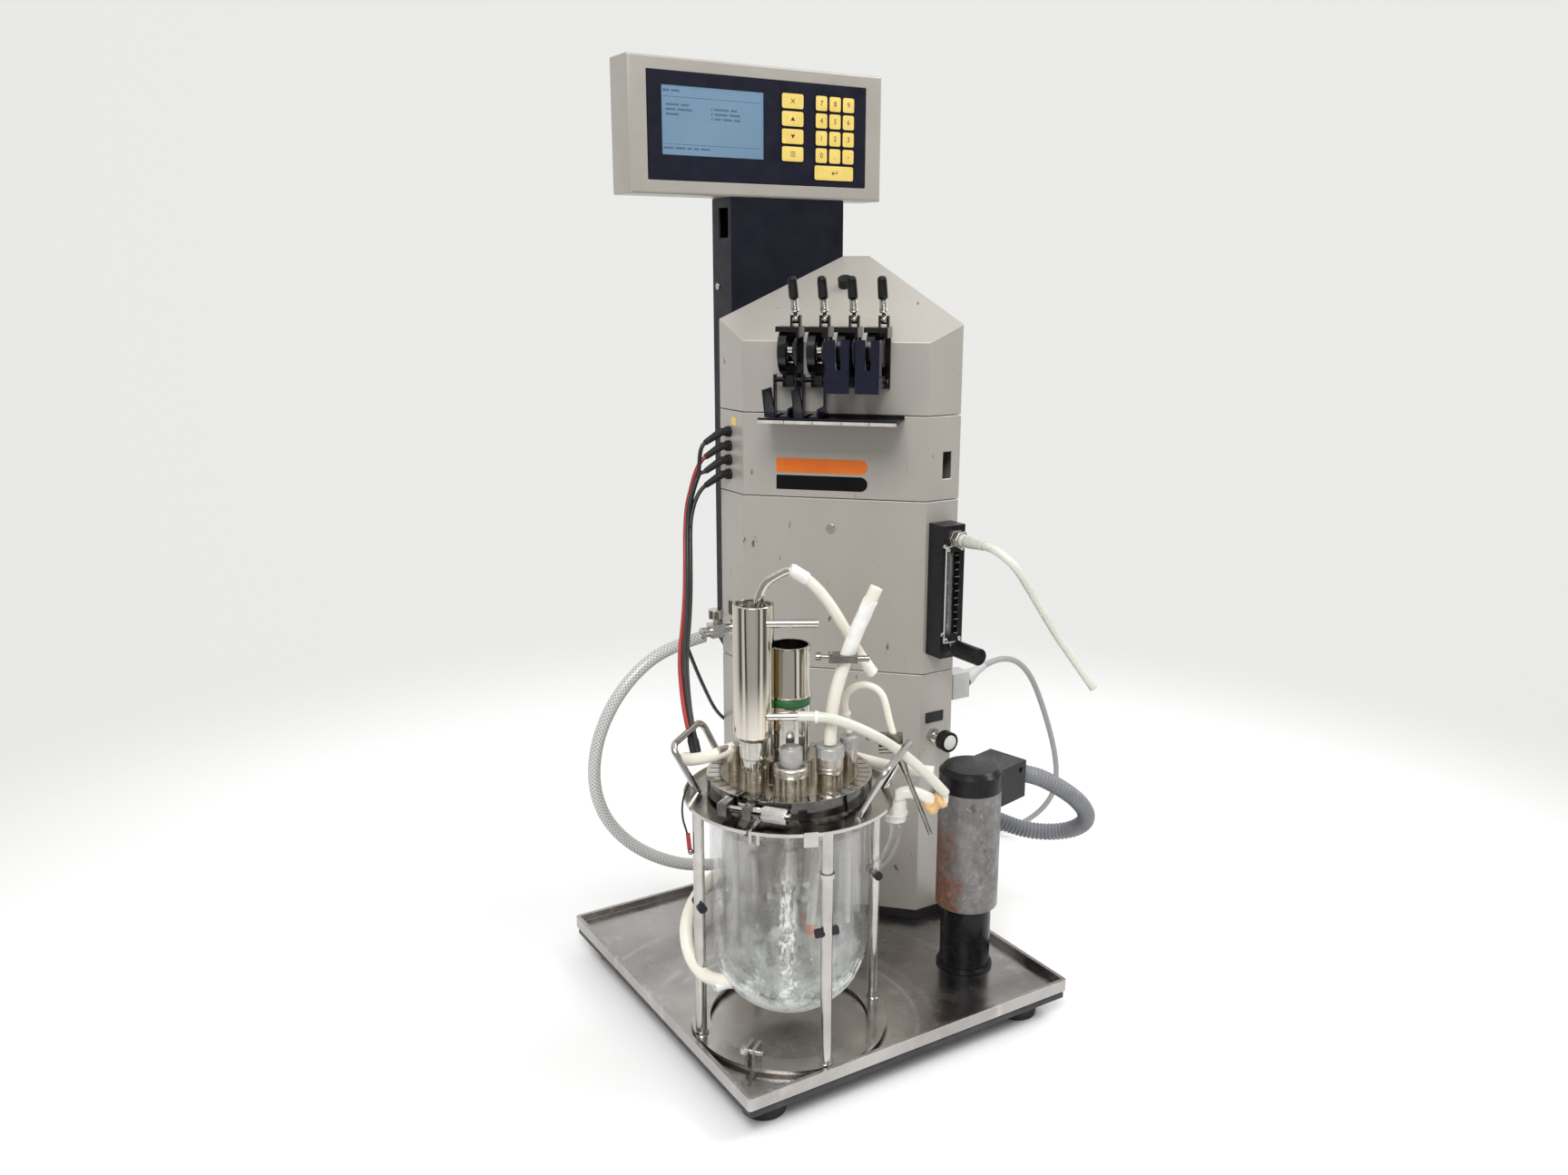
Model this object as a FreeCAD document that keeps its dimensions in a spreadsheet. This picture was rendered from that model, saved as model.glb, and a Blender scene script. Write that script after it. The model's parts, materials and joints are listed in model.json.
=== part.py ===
"""Bench bioreactor: a jacketed glass vessel in its stand on a drip tray, in front of a
sheet-metal control tower with a display, tube pumps, a flow meter and a resting stirrer motor.

Every piece is laid out from the tray's front left corner: x along the tray's front edge,
y towards the back, z up from the table. At the end each piece is moved so that the origin
is the middle of the footprint at table level. Lengths are in millimetres.
"""
import FreeCAD, Part
import math
import os

import Sketcher

DOC = FreeCAD.newDocument("bench_bioreactor")
SHEET = DOC.addObject("Spreadsheet::Sheet", "sizes")
VEC = FreeCAD.Vector

SIZES = {
    # drip tray, base plate and feet
    "tray_wide": 354.0, "tray_deep": 366.0, "tray_high": 12.0, "tray_rim": 4.0, "tray_sheet": 1.5,
    "tray_floor_drop": 7.0, "corner_round": 3.0,
    "foot_high": 24.0, "foot_wide": 45.0, "foot_inset": 34.0, "foot_taper": 3.0,
    "base_inset": 2.0, "base_lip": 4.0, "base_sheet": 2.0, "base_gap": 2.0,
    # control tower
    "tower_left": 178.0, "tower_front": 181.2, "tower_wide": 171.5, "tower_deep": 178.8,
    "face_leg": 131.5, "back_leg": 20.0, "cover_wall": 2.0, "seam": 0.6,
    "lower_cover_high": 261.5, "middle_cover_high": 177.0, "band_cover_high": 83.0,
    "top_cover_high": 70.0, "roof_rise": 0.587, "seal_high": 10.0, "seal_out": 0.4, "seal_thick": 2.5,
    "slot_wide": 10.6, "slot_high": 26.5, "slot_z": 517.0, "slot_from_edge": 15.5,
    "frame_gap": 1.0, "frame_wide": 110.0, "frame_deep": 24.0, "frame_sheet": 2.0,
    # rear column and display
    "column_left": 193.4, "column_wide": 135.8, "column_deep": 40.0, "column_low": 285.0,
    "column_bevel": 25.0, "column_wall": 2.0,
    "display_left": 82.5, "display_wide": 292.5, "display_low": 774.5, "display_high": 125.5,
    "display_front": 358.0, "display_deep": 40.0, "display_round": 3.0,
    "panel_left": 102.7, "panel_wide": 251.4, "panel_low": 788.1, "panel_high": 98.5,
    "panel_thick": 2.4, "panel_recess": 2.0,
    "window_left": 117.5, "window_wide": 113.3, "window_low": 810.8, "window_high": 63.9,
    "window_sunk": 0.8, "key_raise": 0.9, "key_round": 1.6,
    "menu_key_wide": 26.5, "number_key_wide": 14.9, "key_high": 15.2, "enter_key_wide": 48.9,
    "menu_key_x": 263.8, "number_key_x": 298.4, "number_pitch": 16.6, "key_row_top": 868.4,
    "key_pitch": 16.85, "enter_key_x": 314.2,
    # vessel stand
    "vessel_x": 97.0, "vessel_y": 94.0, "ring_out": 90.0, "plate_out": 93.0, "ring_in": 72.5,
    "ring_sheet": 3.0,
    "ring_foot": 3.0, "ring_foot_inset": 3.5, "plate_top": 258.5, "plate_thick": 3.0,
    "plate_hole": 62.0, "leg_wide": 10.0, "leg_circle": 84.5, "leg_collar_wide": 13.0,
    "leg_collar_high": 2.0, "split_wide": 4.0, "ear_long": 15.0, "ear_high": 19.0, "ear_thick": 3.0,
    "ear_out": 78.0, "split_angle": 217.0, "handle_wire": 6.0,
    "bumper_z": 164.0, "bumper_long": 20.0,
    "bumper_wide": 8.0, "leg_first": 170.0, "plate_ear_in": 66.0, "plate_ear_high": 14.0,
    # glass vessel, lid and clamp
    "jacket_out": 71.0, "glass_wall": 2.6, "dome_centre": 122.0,
    "shoulder_z": 240.0, "shoulder_round": 9.0, "neck_out": 60.0, "flange_out": 68.0,
    "flange_thick": 5.6, "flange_gap": 5.2, "lid_out": 68.0, "lid_top": 277.0, "lid_gap": 0.3,
    "band_low": 261.8,
    "band_out": 72.5, "band_grip": 61.0, "band_sheet": 1.6, "band_slits": 40.0, "slit_wide": 1.4,
    "clamp_bolt_out": 78.9, "opening_turn": 11.7, "clamp_bolt_wide": 6.0, "clamp_nut_wide": 12.5,
    "clamp_nut_long": 22.0,
    # ports, condenser and stirrer drive
    "port_bore": 10.0, "probe_low": 131.0, "probe_wide": 8.0, "probe_long": 138.0, "probe_lean": 4.8,
    "condenser_x": -35.6, "condenser_y": 0.1, "condenser_wide": 34.6,
    "condenser_low": 317.4, "condenser_high": 115.0, "condenser_stem": 16.0,
    "plug_x": -15.9, "plug_y": -28.9, "sample_x": 18.4, "sample_y": -36.3,
    "thin_x": 48.5, "thin_y": -21.3, "vent_x": -38.7, "vent_y": 28.5,
    "drive_wide": 35.5, "drive_wall": 1.5, "drive_high": 116.0, "drive_base": 15.0, "drive_floor": 48.0,
    "shaft_wide": 8.0, "shaft_low": 76.0, "impeller_wide": 46.0, "impeller_z": 92.0,
    "blade_high": 11.0, "running_gap": 0.3,
    # motor
    "motor_x": 298.1, "motor_y": 87.2, "socket_wide": 49.0, "socket_high": 67.0, "socket_wall": 4.0,
    "can_wide": 60.2, "can_high": 120.0, "cap_high": 22.0, "box_out": 61.0, "box_wide": 43.0,
    "box_high": 38.0, "box_rise": 16.5, "box_turn": 13.0, "coupling_wide": 30.0, "coupling_high": 26.0,
    # pumps on the sloping face
    "pump_pitch": 28.5, "pump_first": -41.2, "pump_low": 592.0, "pump_top": 651.0, "pump_wide": 23.0,
    "pump_sheet": 2.5, "housing_wide": 44.0, "housing_long": 8.0,
    "housing_out": 12.0, "housing_shift": 3.0, "rotor_out": 17.0, "rotor_wide": 28.0, "rotor_z": 627.0,
    "rotor_shaft": 6.0,
    "roller_wide": 8.0, "roller_long": 6.8, "hinge_out": 12.0, "hinge_z": 600.0, "hinge_pin": 5.0,
    "hinge_long": 27.0, "lever_out": 13.0, "lever_z": 657.5, "lever_side": 5.5, "lever_lean": 25.0,
    "lever_rod": 3.6, "lever_rod_long": 12.0, "grip_wide": 9.4, "grip_long": 21.0,
    "spring_wide": 7.6, "spring_long": 10.0,
    "cover_sheet": 1.6, "cover_shift": 2.2, "cover_out": 45.0, "cover_wide": 23.0, "cover_high": 50.0,
    "left_wing": 26.0, "right_wing": 9.0, "wing_splay": 6.0, "open_turn": 90.0,
    "gutter_long": 134.0, "gutter_shift": 2.5, "gutter_out": 52.0, "gutter_z": 561.5,
    "gutter_sheet": 1.5, "gutter_lip": 5.0,
    # flow meter, valves and fittings on the tower
    "meter_left": 313.2, "meter_wide": 27.3, "meter_deep": 23.2, "meter_low": 327.0,
    "meter_high": 134.5, "meter_slot_low": 349.5, "meter_slot_high": 85.0, "meter_slot_wide": 15.0,
    "meter_tube_wide": 9.0, "meter_tube_bore": 6.0, "float_wide": 5.2, "meter_knob_wide": 17.0,
    "meter_knob_long": 36.0, "meter_axis_x": 326.3, "meter_knob_z": 338.5, "meter_fit_z": 449.0,
    "needle_x": 324.8, "needle_z": 238.5, "needle_knob_wide": 21.0, "needle_knob_long": 11.0,
    "tap_y": 333.0, "tap_z": 339.0, "tap_knob_wide": 17.0, "lower_barb_z": 68.0,
    "gland_y": 340.0, "gland_z": 544.0, "gland_pitch": 14.5, "gland_wide": 11.0,
    "mains_y": 212.0, "mains_z": 276.0,
    # tubes and cables
    "soft_hose": 9.4, "clear_hose": 9.0, "sample_hose": 11.0, "thin_hose": 6.2, "braid_hose": 13.0,
    "jacket_hose": 12.0, "vent_hose": 11.0, "meter_hose": 8.0, "conduit_wide": 17.0,
    "mains_cord": 6.6, "cable_bundle": 9.0,
}


class Size:
    """A length that carries its number and its formula in the sheet."""

    def __init__(self, number, text):
        self.number = float(number)
        self.text = text

    def __float__(self):
        return self.number

    def __add__(self, other):
        other = size(other)
        return Size(self.number + other.number, f"({self.text} + {other.text})")

    def __sub__(self, other):
        other = size(other)
        return Size(self.number - other.number, f"({self.text} - {other.text})")

    def __mul__(self, other):
        other = size(other)
        return Size(self.number * other.number, f"({self.text} * {other.text})")

    def __truediv__(self, other):
        other = size(other)
        return Size(self.number / other.number, f"({self.text} / {other.text})")

    def __neg__(self):
        return Size(-self.number, f"(0 - {self.text})")

    __radd__ = __add__
    __rmul__ = __mul__

    def __rsub__(self, other):
        return size(other) - self


def size(value):
    """A plain number or a Size, as a Size."""
    return value if isinstance(value, Size) else Size(value, repr(float(value)))


def fill_sheet():
    """Writes the driving sizes, one named cell each, and returns them by name."""
    for row, (name, number) in enumerate(SIZES.items(), start=1):
        SHEET.set(f"A{row}", name)
        SHEET.set(f"B{row}", str(number))
        SHEET.setAlias(f"B{row}", name)
    DOC.recompute()
    return {name: Size(SHEET.get(name), f"sizes.{name}") for name in SIZES}


S = fill_sheet()
HALF_EDGE = math.tan(math.radians(22.5))
ROOT_HALF = math.sqrt(0.5)
NODES = []


# ------------------------------------------------------------------ small tools
def bind(obj, **properties):
    """Binds each named property to its formula."""
    for name, value in properties.items():
        obj.setExpression(name, size(value).text)
    return obj


def place(obj, at, turn=None):
    """Puts an object at a point of the sheet's lengths, turned by (axis, degrees) if given."""
    if turn:
        obj.Placement = FreeCAD.Placement(VEC(0, 0, 0), FreeCAD.Rotation(VEC(*turn[0]), turn[1]))
    for axis, value in zip("xyz", at):
        obj.setExpression(f"Placement.Base.{axis}", size(value).text)
    return obj


def cylinder(name, wide, high, at, turn=None):
    obj = bind(DOC.addObject("Part::Cylinder", name), Radius=size(wide) / 2, Height=high)
    return place(obj, at, turn)


def cone(name, low_wide, top_wide, high, at, turn=None):
    obj = DOC.addObject("Part::Cone", name)
    bind(obj, Radius1=size(low_wide) / 2, Radius2=size(top_wide) / 2, Height=high)
    return place(obj, at, turn)


def box(name, long, wide, high, at, turn=None):
    obj = bind(DOC.addObject("Part::Box", name), Length=long, Width=wide, Height=high)
    return place(obj, at, turn)


def ball(name, wide, at):
    return place(bind(DOC.addObject("Part::Sphere", name), Radius=size(wide) / 2), at)


def prism(name, wide, high, at, turn=None, sides=6):
    """A regular prism, measured across its corners."""
    obj = DOC.addObject("Part::Prism", name)
    obj.Polygon = sides
    bind(obj, Circumradius=size(wide) / 2, Height=high)
    return place(obj, at, turn)


def fuse(name, pieces):
    obj = DOC.addObject("Part::MultiFuse", name)
    obj.Shapes = pieces
    return obj


def cut(name, base, tool):
    obj = DOC.addObject("Part::Cut", name)
    obj.Base = base
    obj.Tool = tool
    return obj


def group(name, pieces):
    """Separate solids that share one node."""
    obj = DOC.addObject("Part::Compound", name)
    obj.Links = pieces
    return obj


def formed(name, shape):
    """A piece whose shape is worked out here from the sheet's lengths."""
    obj = DOC.addObject("Part::Feature", name)
    obj.Shape = shape
    return obj


def node(obj, label):
    """Names a finished piece and moves it to the part's own origin."""
    origin_x = S["display_left"] / 2 + S["display_wide"] / 2
    origin_y = (S["tower_front"] + S["tower_deep"] + S["column_deep"]) / 2
    obj.Label = label
    obj.setExpression("Placement.Base.x", (-origin_x).text)
    obj.setExpression("Placement.Base.y", (-origin_y).text)
    NODES.append(obj)


class Piece:
    """A PartDesign body with sketches on its own origin planes."""

    def __init__(self, name):
        self.body = DOC.addObject("PartDesign::Body", name)
        self.name = name

    def feature(self, kind, **values):
        made = self.body.newObject(f"PartDesign::{kind}", f"{self.name}_{kind.lower()}")
        for name, value in values.items():
            setattr(made, name, value)
        return made

    def sketch(self, role, lift=0.0, turn=0.0):
        """An empty sketch on an origin plane, raised along its normal and turned about its upright."""
        made = self.body.newObject("Sketcher::SketchObject", f"{self.name}_sketch")
        plane = next(f for f in self.body.Origin.OriginFeatures if f.Role == role)
        made.AttachmentSupport = [(plane, "")]
        made.MapMode = "FlatFace"
        made.AttachmentOffset = FreeCAD.Placement(VEC(0, 0, 0), FreeCAD.Rotation(VEC(0, 1, 0), turn))
        made.setExpression("AttachmentOffset.Base.z", size(lift).text)
        return made

    def pin(self, made, edge, end, x, y):
        """Fixes one sketch point by two bound distances from the sketch's origin."""
        for kind, value in (("DistanceX", x), ("DistanceY", y)):
            value = size(value)
            index = made.addConstraint(Sketcher.Constraint(kind, -1, 1, edge, end, value.number))
            made.setExpression(f"Constraints[{index}]", value.text)

    def outline(self, made, points):
        """A closed outline of straight edges."""
        first = made.GeometryCount
        flat = [VEC(float(x), float(y), 0) for x, y in points]
        count = len(points)
        for i in range(count):
            made.addGeometry(Part.LineSegment(flat[i], flat[(i + 1) % count]), False)
        for i in range(count):
            made.addConstraint(
                Sketcher.Constraint("Coincident", first + i, 2, first + (i + 1) % count, 1)
            )
        for i, (x, y) in enumerate(points):
            self.pin(made, first + i, 1, x, y)

    def circle(self, made, x, y, wide):
        radius = size(wide) / 2
        edge = made.addGeometry(
            Part.Circle(VEC(float(x), float(y), 0), VEC(0, 0, 1), radius.number), False
        )
        index = made.addConstraint(Sketcher.Constraint("Radius", edge, radius.number))
        made.setExpression(f"Constraints[{index}]", radius.text)
        self.pin(made, edge, 3, x, y)

    def pad(self, made, high, reverse=False, midplane=False):
        done = self.feature("Pad", Profile=made, Reversed=reverse)
        done.Midplane = midplane
        return bind(done, Length=high)

    def pocket(self, made, deep=None, reverse=False, midplane=False):
        done = self.feature("Pocket", Profile=made, Reversed=reverse)
        done.Midplane = midplane
        if deep is None:
            done.Type = "ThroughAll"
            return done
        return bind(done, Length=deep)

    def revolve(self, made, axis="V_Axis"):
        return self.feature("Revolution", Profile=made, ReferenceAxis=(made, [axis]), Angle=360.0)

    def around(self, made, count, axis_sketch):
        done = self.feature("PolarPattern", Originals=made, Axis=(axis_sketch, ["N_Axis"]), Angle=360.0)
        done.setExpression("Occurrences", size(count).text)
        self.body.Tip = done
        return done

    def round_edges(self, base, wanted, radius):
        """A fillet on the edges that the test picks."""
        DOC.recompute()
        names = [f"Edge{i}" for i, edge in enumerate(base.Shape.Edges, start=1) if wanted(edge)]
        done = self.feature("Fillet", Base=(base, names))
        return bind(done, Radius=radius)


def upright(edge):
    """True for a straight edge that stands along z."""
    return isinstance(edge.Curve, Part.Line) and abs(edge.Curve.Direction.z) > 0.99


def rectangle(x, y, wide, high):
    return [(x, y), (x + wide, y), (x + wide, y + high), (x, y + high)]


def turned(name, points, at=(0, 0, 0)):
    """A body turned about z from a half outline of (radius, height) points."""
    piece = Piece(name)
    made = piece.sketch("XZ_Plane")
    piece.outline(made, points)
    piece.revolve(made)
    place(piece.body, at)
    return piece.body


def about(x, y, radius, degrees):
    """A point on a circle, in the sheet's lengths."""
    angle = math.radians(degrees)
    return x + size(radius) * math.cos(angle), y + size(radius) * math.sin(angle)


VX, VY = S["vessel_x"], S["vessel_y"]
TRAY_LOW = S["foot_high"] + S["base_sheet"] + S["base_gap"]
TRAY_TOP = TRAY_LOW + S["tray_high"]
FLOOR = TRAY_TOP - S["tray_floor_drop"]
BACK = S["tower_front"] + S["tower_deep"]
RIGHT = S["tower_left"] + S["tower_wide"]


# ------------------------------------------------------------------ tray and feet
def tray_parts():
    """Four rubber feet, a folded base plate and the stainless drip tray on it."""
    wide, deep = S["tray_wide"], S["tray_deep"]
    inset, foot = S["foot_inset"], S["foot_wide"]
    feet = []
    for i, x in enumerate((inset, wide - inset)):
        for j, y in enumerate((inset, deep - inset)):
            name = f"foot_{i}{j}"
            feet.append(cone(name, foot - S["foot_taper"] * 2, foot, S["foot_high"], (x, y, 0)))
    node(group("feet", feet), "rubber_feet")

    edge, sheet = S["base_inset"], S["base_sheet"]
    base = Piece("base")
    under = S["foot_high"] - S["base_lip"]
    made = base.sketch("XY_Plane", under)
    base.outline(made, rectangle(edge, edge, wide - edge * 2, deep - edge * 2))
    base.pad(made, S["base_lip"] + sheet)
    made = base.sketch("XY_Plane", S["foot_high"])
    wall = edge + sheet
    base.outline(made, rectangle(wall, wall, wide - wall * 2, deep - wall * 2))
    base.pocket(made, S["base_lip"])
    made = base.sketch("XY_Plane", S["foot_high"] + sheet)
    step = edge + S["tray_rim"] * 2
    base.outline(made, rectangle(step, step, wide - step * 2, deep - step * 2))
    base.pad(made, FLOOR - S["tray_sheet"] - S["foot_high"] - sheet)
    node(base.body, "base_plate")

    tray = Piece("tray")
    made = tray.sketch("XY_Plane", TRAY_LOW)
    tray.outline(made, rectangle(0, 0, wide, deep))
    block = tray.pad(made, S["tray_high"])
    tray.round_edges(block, upright, S["corner_round"])
    rim, sheet = S["tray_rim"], S["tray_sheet"]
    made = tray.sketch("XY_Plane", TRAY_TOP)
    tray.outline(made, rectangle(rim, rim, wide - rim * 2, deep - rim * 2))
    tray.pocket(made, S["tray_floor_drop"])
    made = tray.sketch("XY_Plane", FLOOR - sheet)
    tray.outline(made, rectangle(sheet, sheet, wide - sheet * 2, deep - sheet * 2))
    tray.pocket(made, FLOOR - sheet - TRAY_LOW)
    node(tray.body, "drip_tray")


# ------------------------------------------------------------------ control tower
def tower_plan(inset):
    """The tower's plan with its large front bevel, moved inwards by a wall."""
    left, front = S["tower_left"], S["tower_front"]
    inset = size(inset)
    shift = inset * HALF_EDGE
    return [
        (left + inset, BACK - inset),
        (left + inset, front + S["face_leg"] + shift),
        (left + S["face_leg"] + shift, front + inset),
        (RIGHT - inset, front + inset),
        (RIGHT - inset, BACK - S["back_leg"] - shift),
        (RIGHT - S["back_leg"] - shift, BACK - inset),
    ]


def tower_block(name, inset, low, high):
    """A solid of the tower's plan between two levels."""
    piece = Piece(name)
    made = piece.sketch("XY_Plane", low)
    piece.outline(made, tower_plan(inset))
    piece.pad(made, high)
    return piece


def tower_sleeve(name, low, high):
    """A folded cover open at its top and bottom."""
    piece = tower_block(name, 0, low, high)
    made = piece.sketch("XY_Plane", low + high)
    piece.outline(made, tower_plan(S["cover_wall"]))
    piece.pocket(made, high)
    return piece


SEAL_TOP = FLOOR + S["seal_high"]
MIDDLE_LOW = SEAL_TOP + S["lower_cover_high"] + S["seam"]
BAND_LOW = MIDDLE_LOW + S["middle_cover_high"] + S["seam"]
TOP_LOW = BAND_LOW + S["band_cover_high"] + S["seam"]


def roofed_block(name, inset, low, drop):
    """The top cover's solid: the plan cut off by a roof that rises away from the bevel."""
    rise = S["tower_wide"] * S["roof_rise"] * 2
    piece = tower_block(name, inset, low, S["top_cover_high"] + rise)
    made = piece.sketch("XZ_Plane", 0, 45.0)
    # this sketch's own x runs from the front left corner to the back right one
    front = (S["tower_left"] + S["tower_front"] + S["face_leg"]) * ROOT_HALF
    eave = TOP_LOW + S["top_cover_high"] - drop
    far = front + S["tower_wide"] * 2
    near = front - S["tower_wide"]
    piece.outline(made, [
        (near, eave - (front - near) * S["roof_rise"]),
        (far, eave + (far - front) * S["roof_rise"]),
        (far, eave + rise * 3),
        (near, eave + rise * 3),
    ])
    piece.pocket(made, midplane=True)
    return piece


def tower_parts():
    """The sealing bead, three sleeves, the roofed top cover and the frame inside them."""
    seal = Piece("seal")
    made = seal.sketch("XY_Plane", FLOOR)
    seal.outline(made, tower_plan(-S["seal_out"]))
    seal.pad(made, S["seal_high"])
    made = seal.sketch("XY_Plane", SEAL_TOP)
    seal.outline(made, tower_plan(S["seal_thick"]))
    seal.pocket(made, S["seal_high"])
    node(seal.body, "tower_seal")

    node(tower_sleeve("lower", SEAL_TOP, S["lower_cover_high"]).body, "lower_cover")
    node(tower_sleeve("middle", MIDDLE_LOW, S["middle_cover_high"]).body, "middle_cover")

    band = tower_sleeve("band", BAND_LOW, S["band_cover_high"])
    made = band.sketch("XZ_Plane", -S["tower_front"])
    slot_left = RIGHT - S["slot_from_edge"] - S["slot_wide"] / 2
    band.outline(made, rectangle(slot_left, S["slot_z"] - S["slot_high"] / 2,
                                 S["slot_wide"], S["slot_high"]))
    band.pocket(made, S["cover_wall"] * 2, midplane=True)
    node(band.body, "band_cover")

    wall = S["cover_wall"]
    outer = roofed_block("roof_outside", 0, TOP_LOW, 0)
    inner = roofed_block("roof_inside", wall, TOP_LOW - wall, wall * 1.2)
    node(cut("roof", outer.body, inner.body), "top_cover")

    gap = S["frame_gap"] + wall
    frame = Piece("frame")
    left = RIGHT - S["back_leg"] - gap - S["frame_wide"]
    back = BACK - gap
    high = TOP_LOW + S["top_cover_high"] - FLOOR
    made = frame.sketch("XY_Plane", FLOOR)
    sheet, deep, wide = S["frame_sheet"], S["frame_deep"], S["frame_wide"]
    frame.outline(made, [
        (left, back), (left, back - deep), (left + sheet, back - deep), (left + sheet, back - sheet),
        (left + wide - sheet, back - sheet), (left + wide - sheet, back - deep),
        (left + wide, back - deep), (left + wide, back),
    ])
    frame.pad(made, high)

    # the pump and heater block of the water circuit, screwed to the frame's lower half
    flange = back - deep
    heater = cylinder("heater", 64, 150, (left + wide / 2, flange - 36, FLOOR + 12))
    pump_case = box("water_pump", 70, 72, 40, (left + wide / 2 - 35, flange - 72, FLOOR + 162))
    foot = box("heater_foot", wide, 16, 12, (left, flange - 16, FLOOR))
    block = fuse("circulation", [heater, pump_case, foot])
    node(block, "circulation_unit")
    # circuit boards on a carrier plate with the power supply
    carrier = box("carrier", wide, 3, 300, (left, flange - 3, MIDDLE_LOW + 20))
    boards = [box(f"board_{i}", 2, 62, 260, (left + 12 + i * 20, flange - 65, MIDDLE_LOW + 40))
              for i in range(3)]
    supply = box("supply", 34, 90, 110, (left + 74, flange - 93, MIDDLE_LOW + 40))
    electronics = fuse("boards", [carrier] + boards + [supply])
    node(group("frame_and_boards", [frame.body, electronics]), "tower_frame")


def column_parts():
    """The navy column behind the tower and the display case on it."""
    left, wide, deep = S["column_left"], S["column_wide"], S["column_deep"]
    top, low = S["display_low"], S["column_low"]
    column = Piece("column")
    made = column.sketch("YZ_Plane", left)
    column.outline(made, [
        (BACK, low), (BACK + deep, low + S["column_bevel"]), (BACK + deep, top), (BACK, top),
    ])
    column.pad(made, wide)
    wall = S["column_wall"]
    made = column.sketch("YZ_Plane", left + wall)
    column.outline(made, [
        (BACK + wall, low + wall * 2), (BACK + deep - wall, low + S["column_bevel"] + wall),
        (BACK + deep - wall, top - wall), (BACK + wall, top - wall),
    ])
    column.pocket(made, wide - wall * 2, reverse=True)
    made = column.sketch("YZ_Plane", left)
    column.outline(made, rectangle(BACK + 7, top - 39, 18, 29))
    column.pocket(made, wall * 2, midplane=True)
    node(column.body, "rear_column")

    left, wide, high = S["display_left"], S["display_wide"], S["display_high"]
    front = S["display_front"]
    case = Piece("case")
    made = case.sketch("XZ_Plane", -(front + S["display_deep"]))
    case.outline(made, rectangle(left, top, wide, high))
    block = case.pad(made, S["display_deep"])
    case.round_edges(block, lambda edge: isinstance(edge.Curve, Part.Line)
                     and abs(edge.Curve.Direction.y) < 0.01, S["display_round"])
    wall = S["column_wall"]
    made = case.sketch("XZ_Plane", -front)
    grow = S["seam"] / 2
    case.outline(made, rectangle(S["panel_left"] - grow, S["panel_low"] - grow,
                                 S["panel_wide"] + grow * 2, S["panel_high"] + grow * 2))
    case.pocket(made, S["panel_recess"])
    made = case.sketch("XZ_Plane", -(front + S["panel_recess"] + wall))
    case.outline(made, rectangle(left + wall * 2, top + wall * 2, wide - wall * 4, high - wall * 4))
    case.pocket(made, S["display_deep"] - S["panel_recess"] - wall * 2)
    made = case.sketch("XZ_Plane", -(front + S["panel_recess"]))
    case.outline(made, rectangle(S["window_left"] + wall, S["window_low"] + wall,
                                 S["window_wide"] - wall * 2, S["window_high"] - wall * 2))
    case.pocket(made, wall * 2)
    node(case.body, "display_housing")


def key_outlines():
    """The membrane's keys as (middle x, middle z, width)."""
    keys = []
    for row in range(4):
        z = S["key_row_top"] - S["key_pitch"] * row
        keys.append((S["menu_key_x"], z, S["menu_key_wide"]))
        for column in range(3):
            keys.append((S["number_key_x"] + S["number_pitch"] * column, z, S["number_key_wide"]))
    keys.append((S["enter_key_x"], S["key_row_top"] - S["key_pitch"] * 4, S["enter_key_wide"]))
    return keys


def panel_parts():
    """The membrane front panel with its embossed keys, and the display window in it."""
    front = S["display_front"]
    back = front + S["panel_recess"]
    panel = Piece("panel")
    made = panel.sketch("XZ_Plane", -back)
    panel.outline(made, rectangle(S["panel_left"], S["panel_low"], S["panel_wide"], S["panel_high"]))
    panel.pad(made, S["panel_thick"])
    face = back - S["panel_thick"]
    made = panel.sketch("XZ_Plane", -face)
    panel.outline(made, rectangle(S["window_left"], S["window_low"], S["window_wide"], S["window_high"]))
    panel.pocket(made)
    high = S["key_high"]
    made = panel.sketch("XZ_Plane", -face)
    for x, z, wide in key_outlines():
        panel.outline(made, rectangle(x - wide / 2, z - high / 2, wide, high))
    keys = panel.pad(made, S["key_raise"])
    panel.round_edges(keys, lambda edge: isinstance(edge.Curve, Part.Line)
                      and abs(edge.Curve.Direction.y) > 0.99
                      and abs(edge.Length - float(S["key_raise"])) < 1e-4, S["key_round"])
    node(panel.body, "front_panel")

    window = Piece("window")
    made = window.sketch("XZ_Plane", -back)
    fit = S["lid_gap"] / 2
    window.outline(made, rectangle(S["window_left"] + fit, S["window_low"] + fit,
                                   S["window_wide"] - fit * 2, S["window_high"] - fit * 2))
    window.pad(made, S["panel_thick"] - S["window_sunk"])
    node(window.body, "lcd_window")


def screw(name, at, toward, wide=7.0, proud=1.6):
    """A pan head that stands on a face and points along (axis, degrees)."""
    return cylinder(name, wide, proud, at, toward)


ALONG_MINUS_X = ((0, 1, 0), -90)
ALONG_MINUS_Y = ((1, 0, 0), 90)
# the bevel faces -x and -y alike
OUT_OF_FACE = ((1, -1, 0), 90)


def face_point(side, out, z):
    """A point by the bevel: along the face to the right, out of the face, and its height."""
    middle_x = S["tower_left"] + S["face_leg"] / 2
    middle_y = S["tower_front"] + S["face_leg"] / 2
    side, out = size(side), size(out)
    return (middle_x + side * ROOT_HALF - out * ROOT_HALF,
            middle_y - side * ROOT_HALF - out * ROOT_HALF, size(z))


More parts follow.
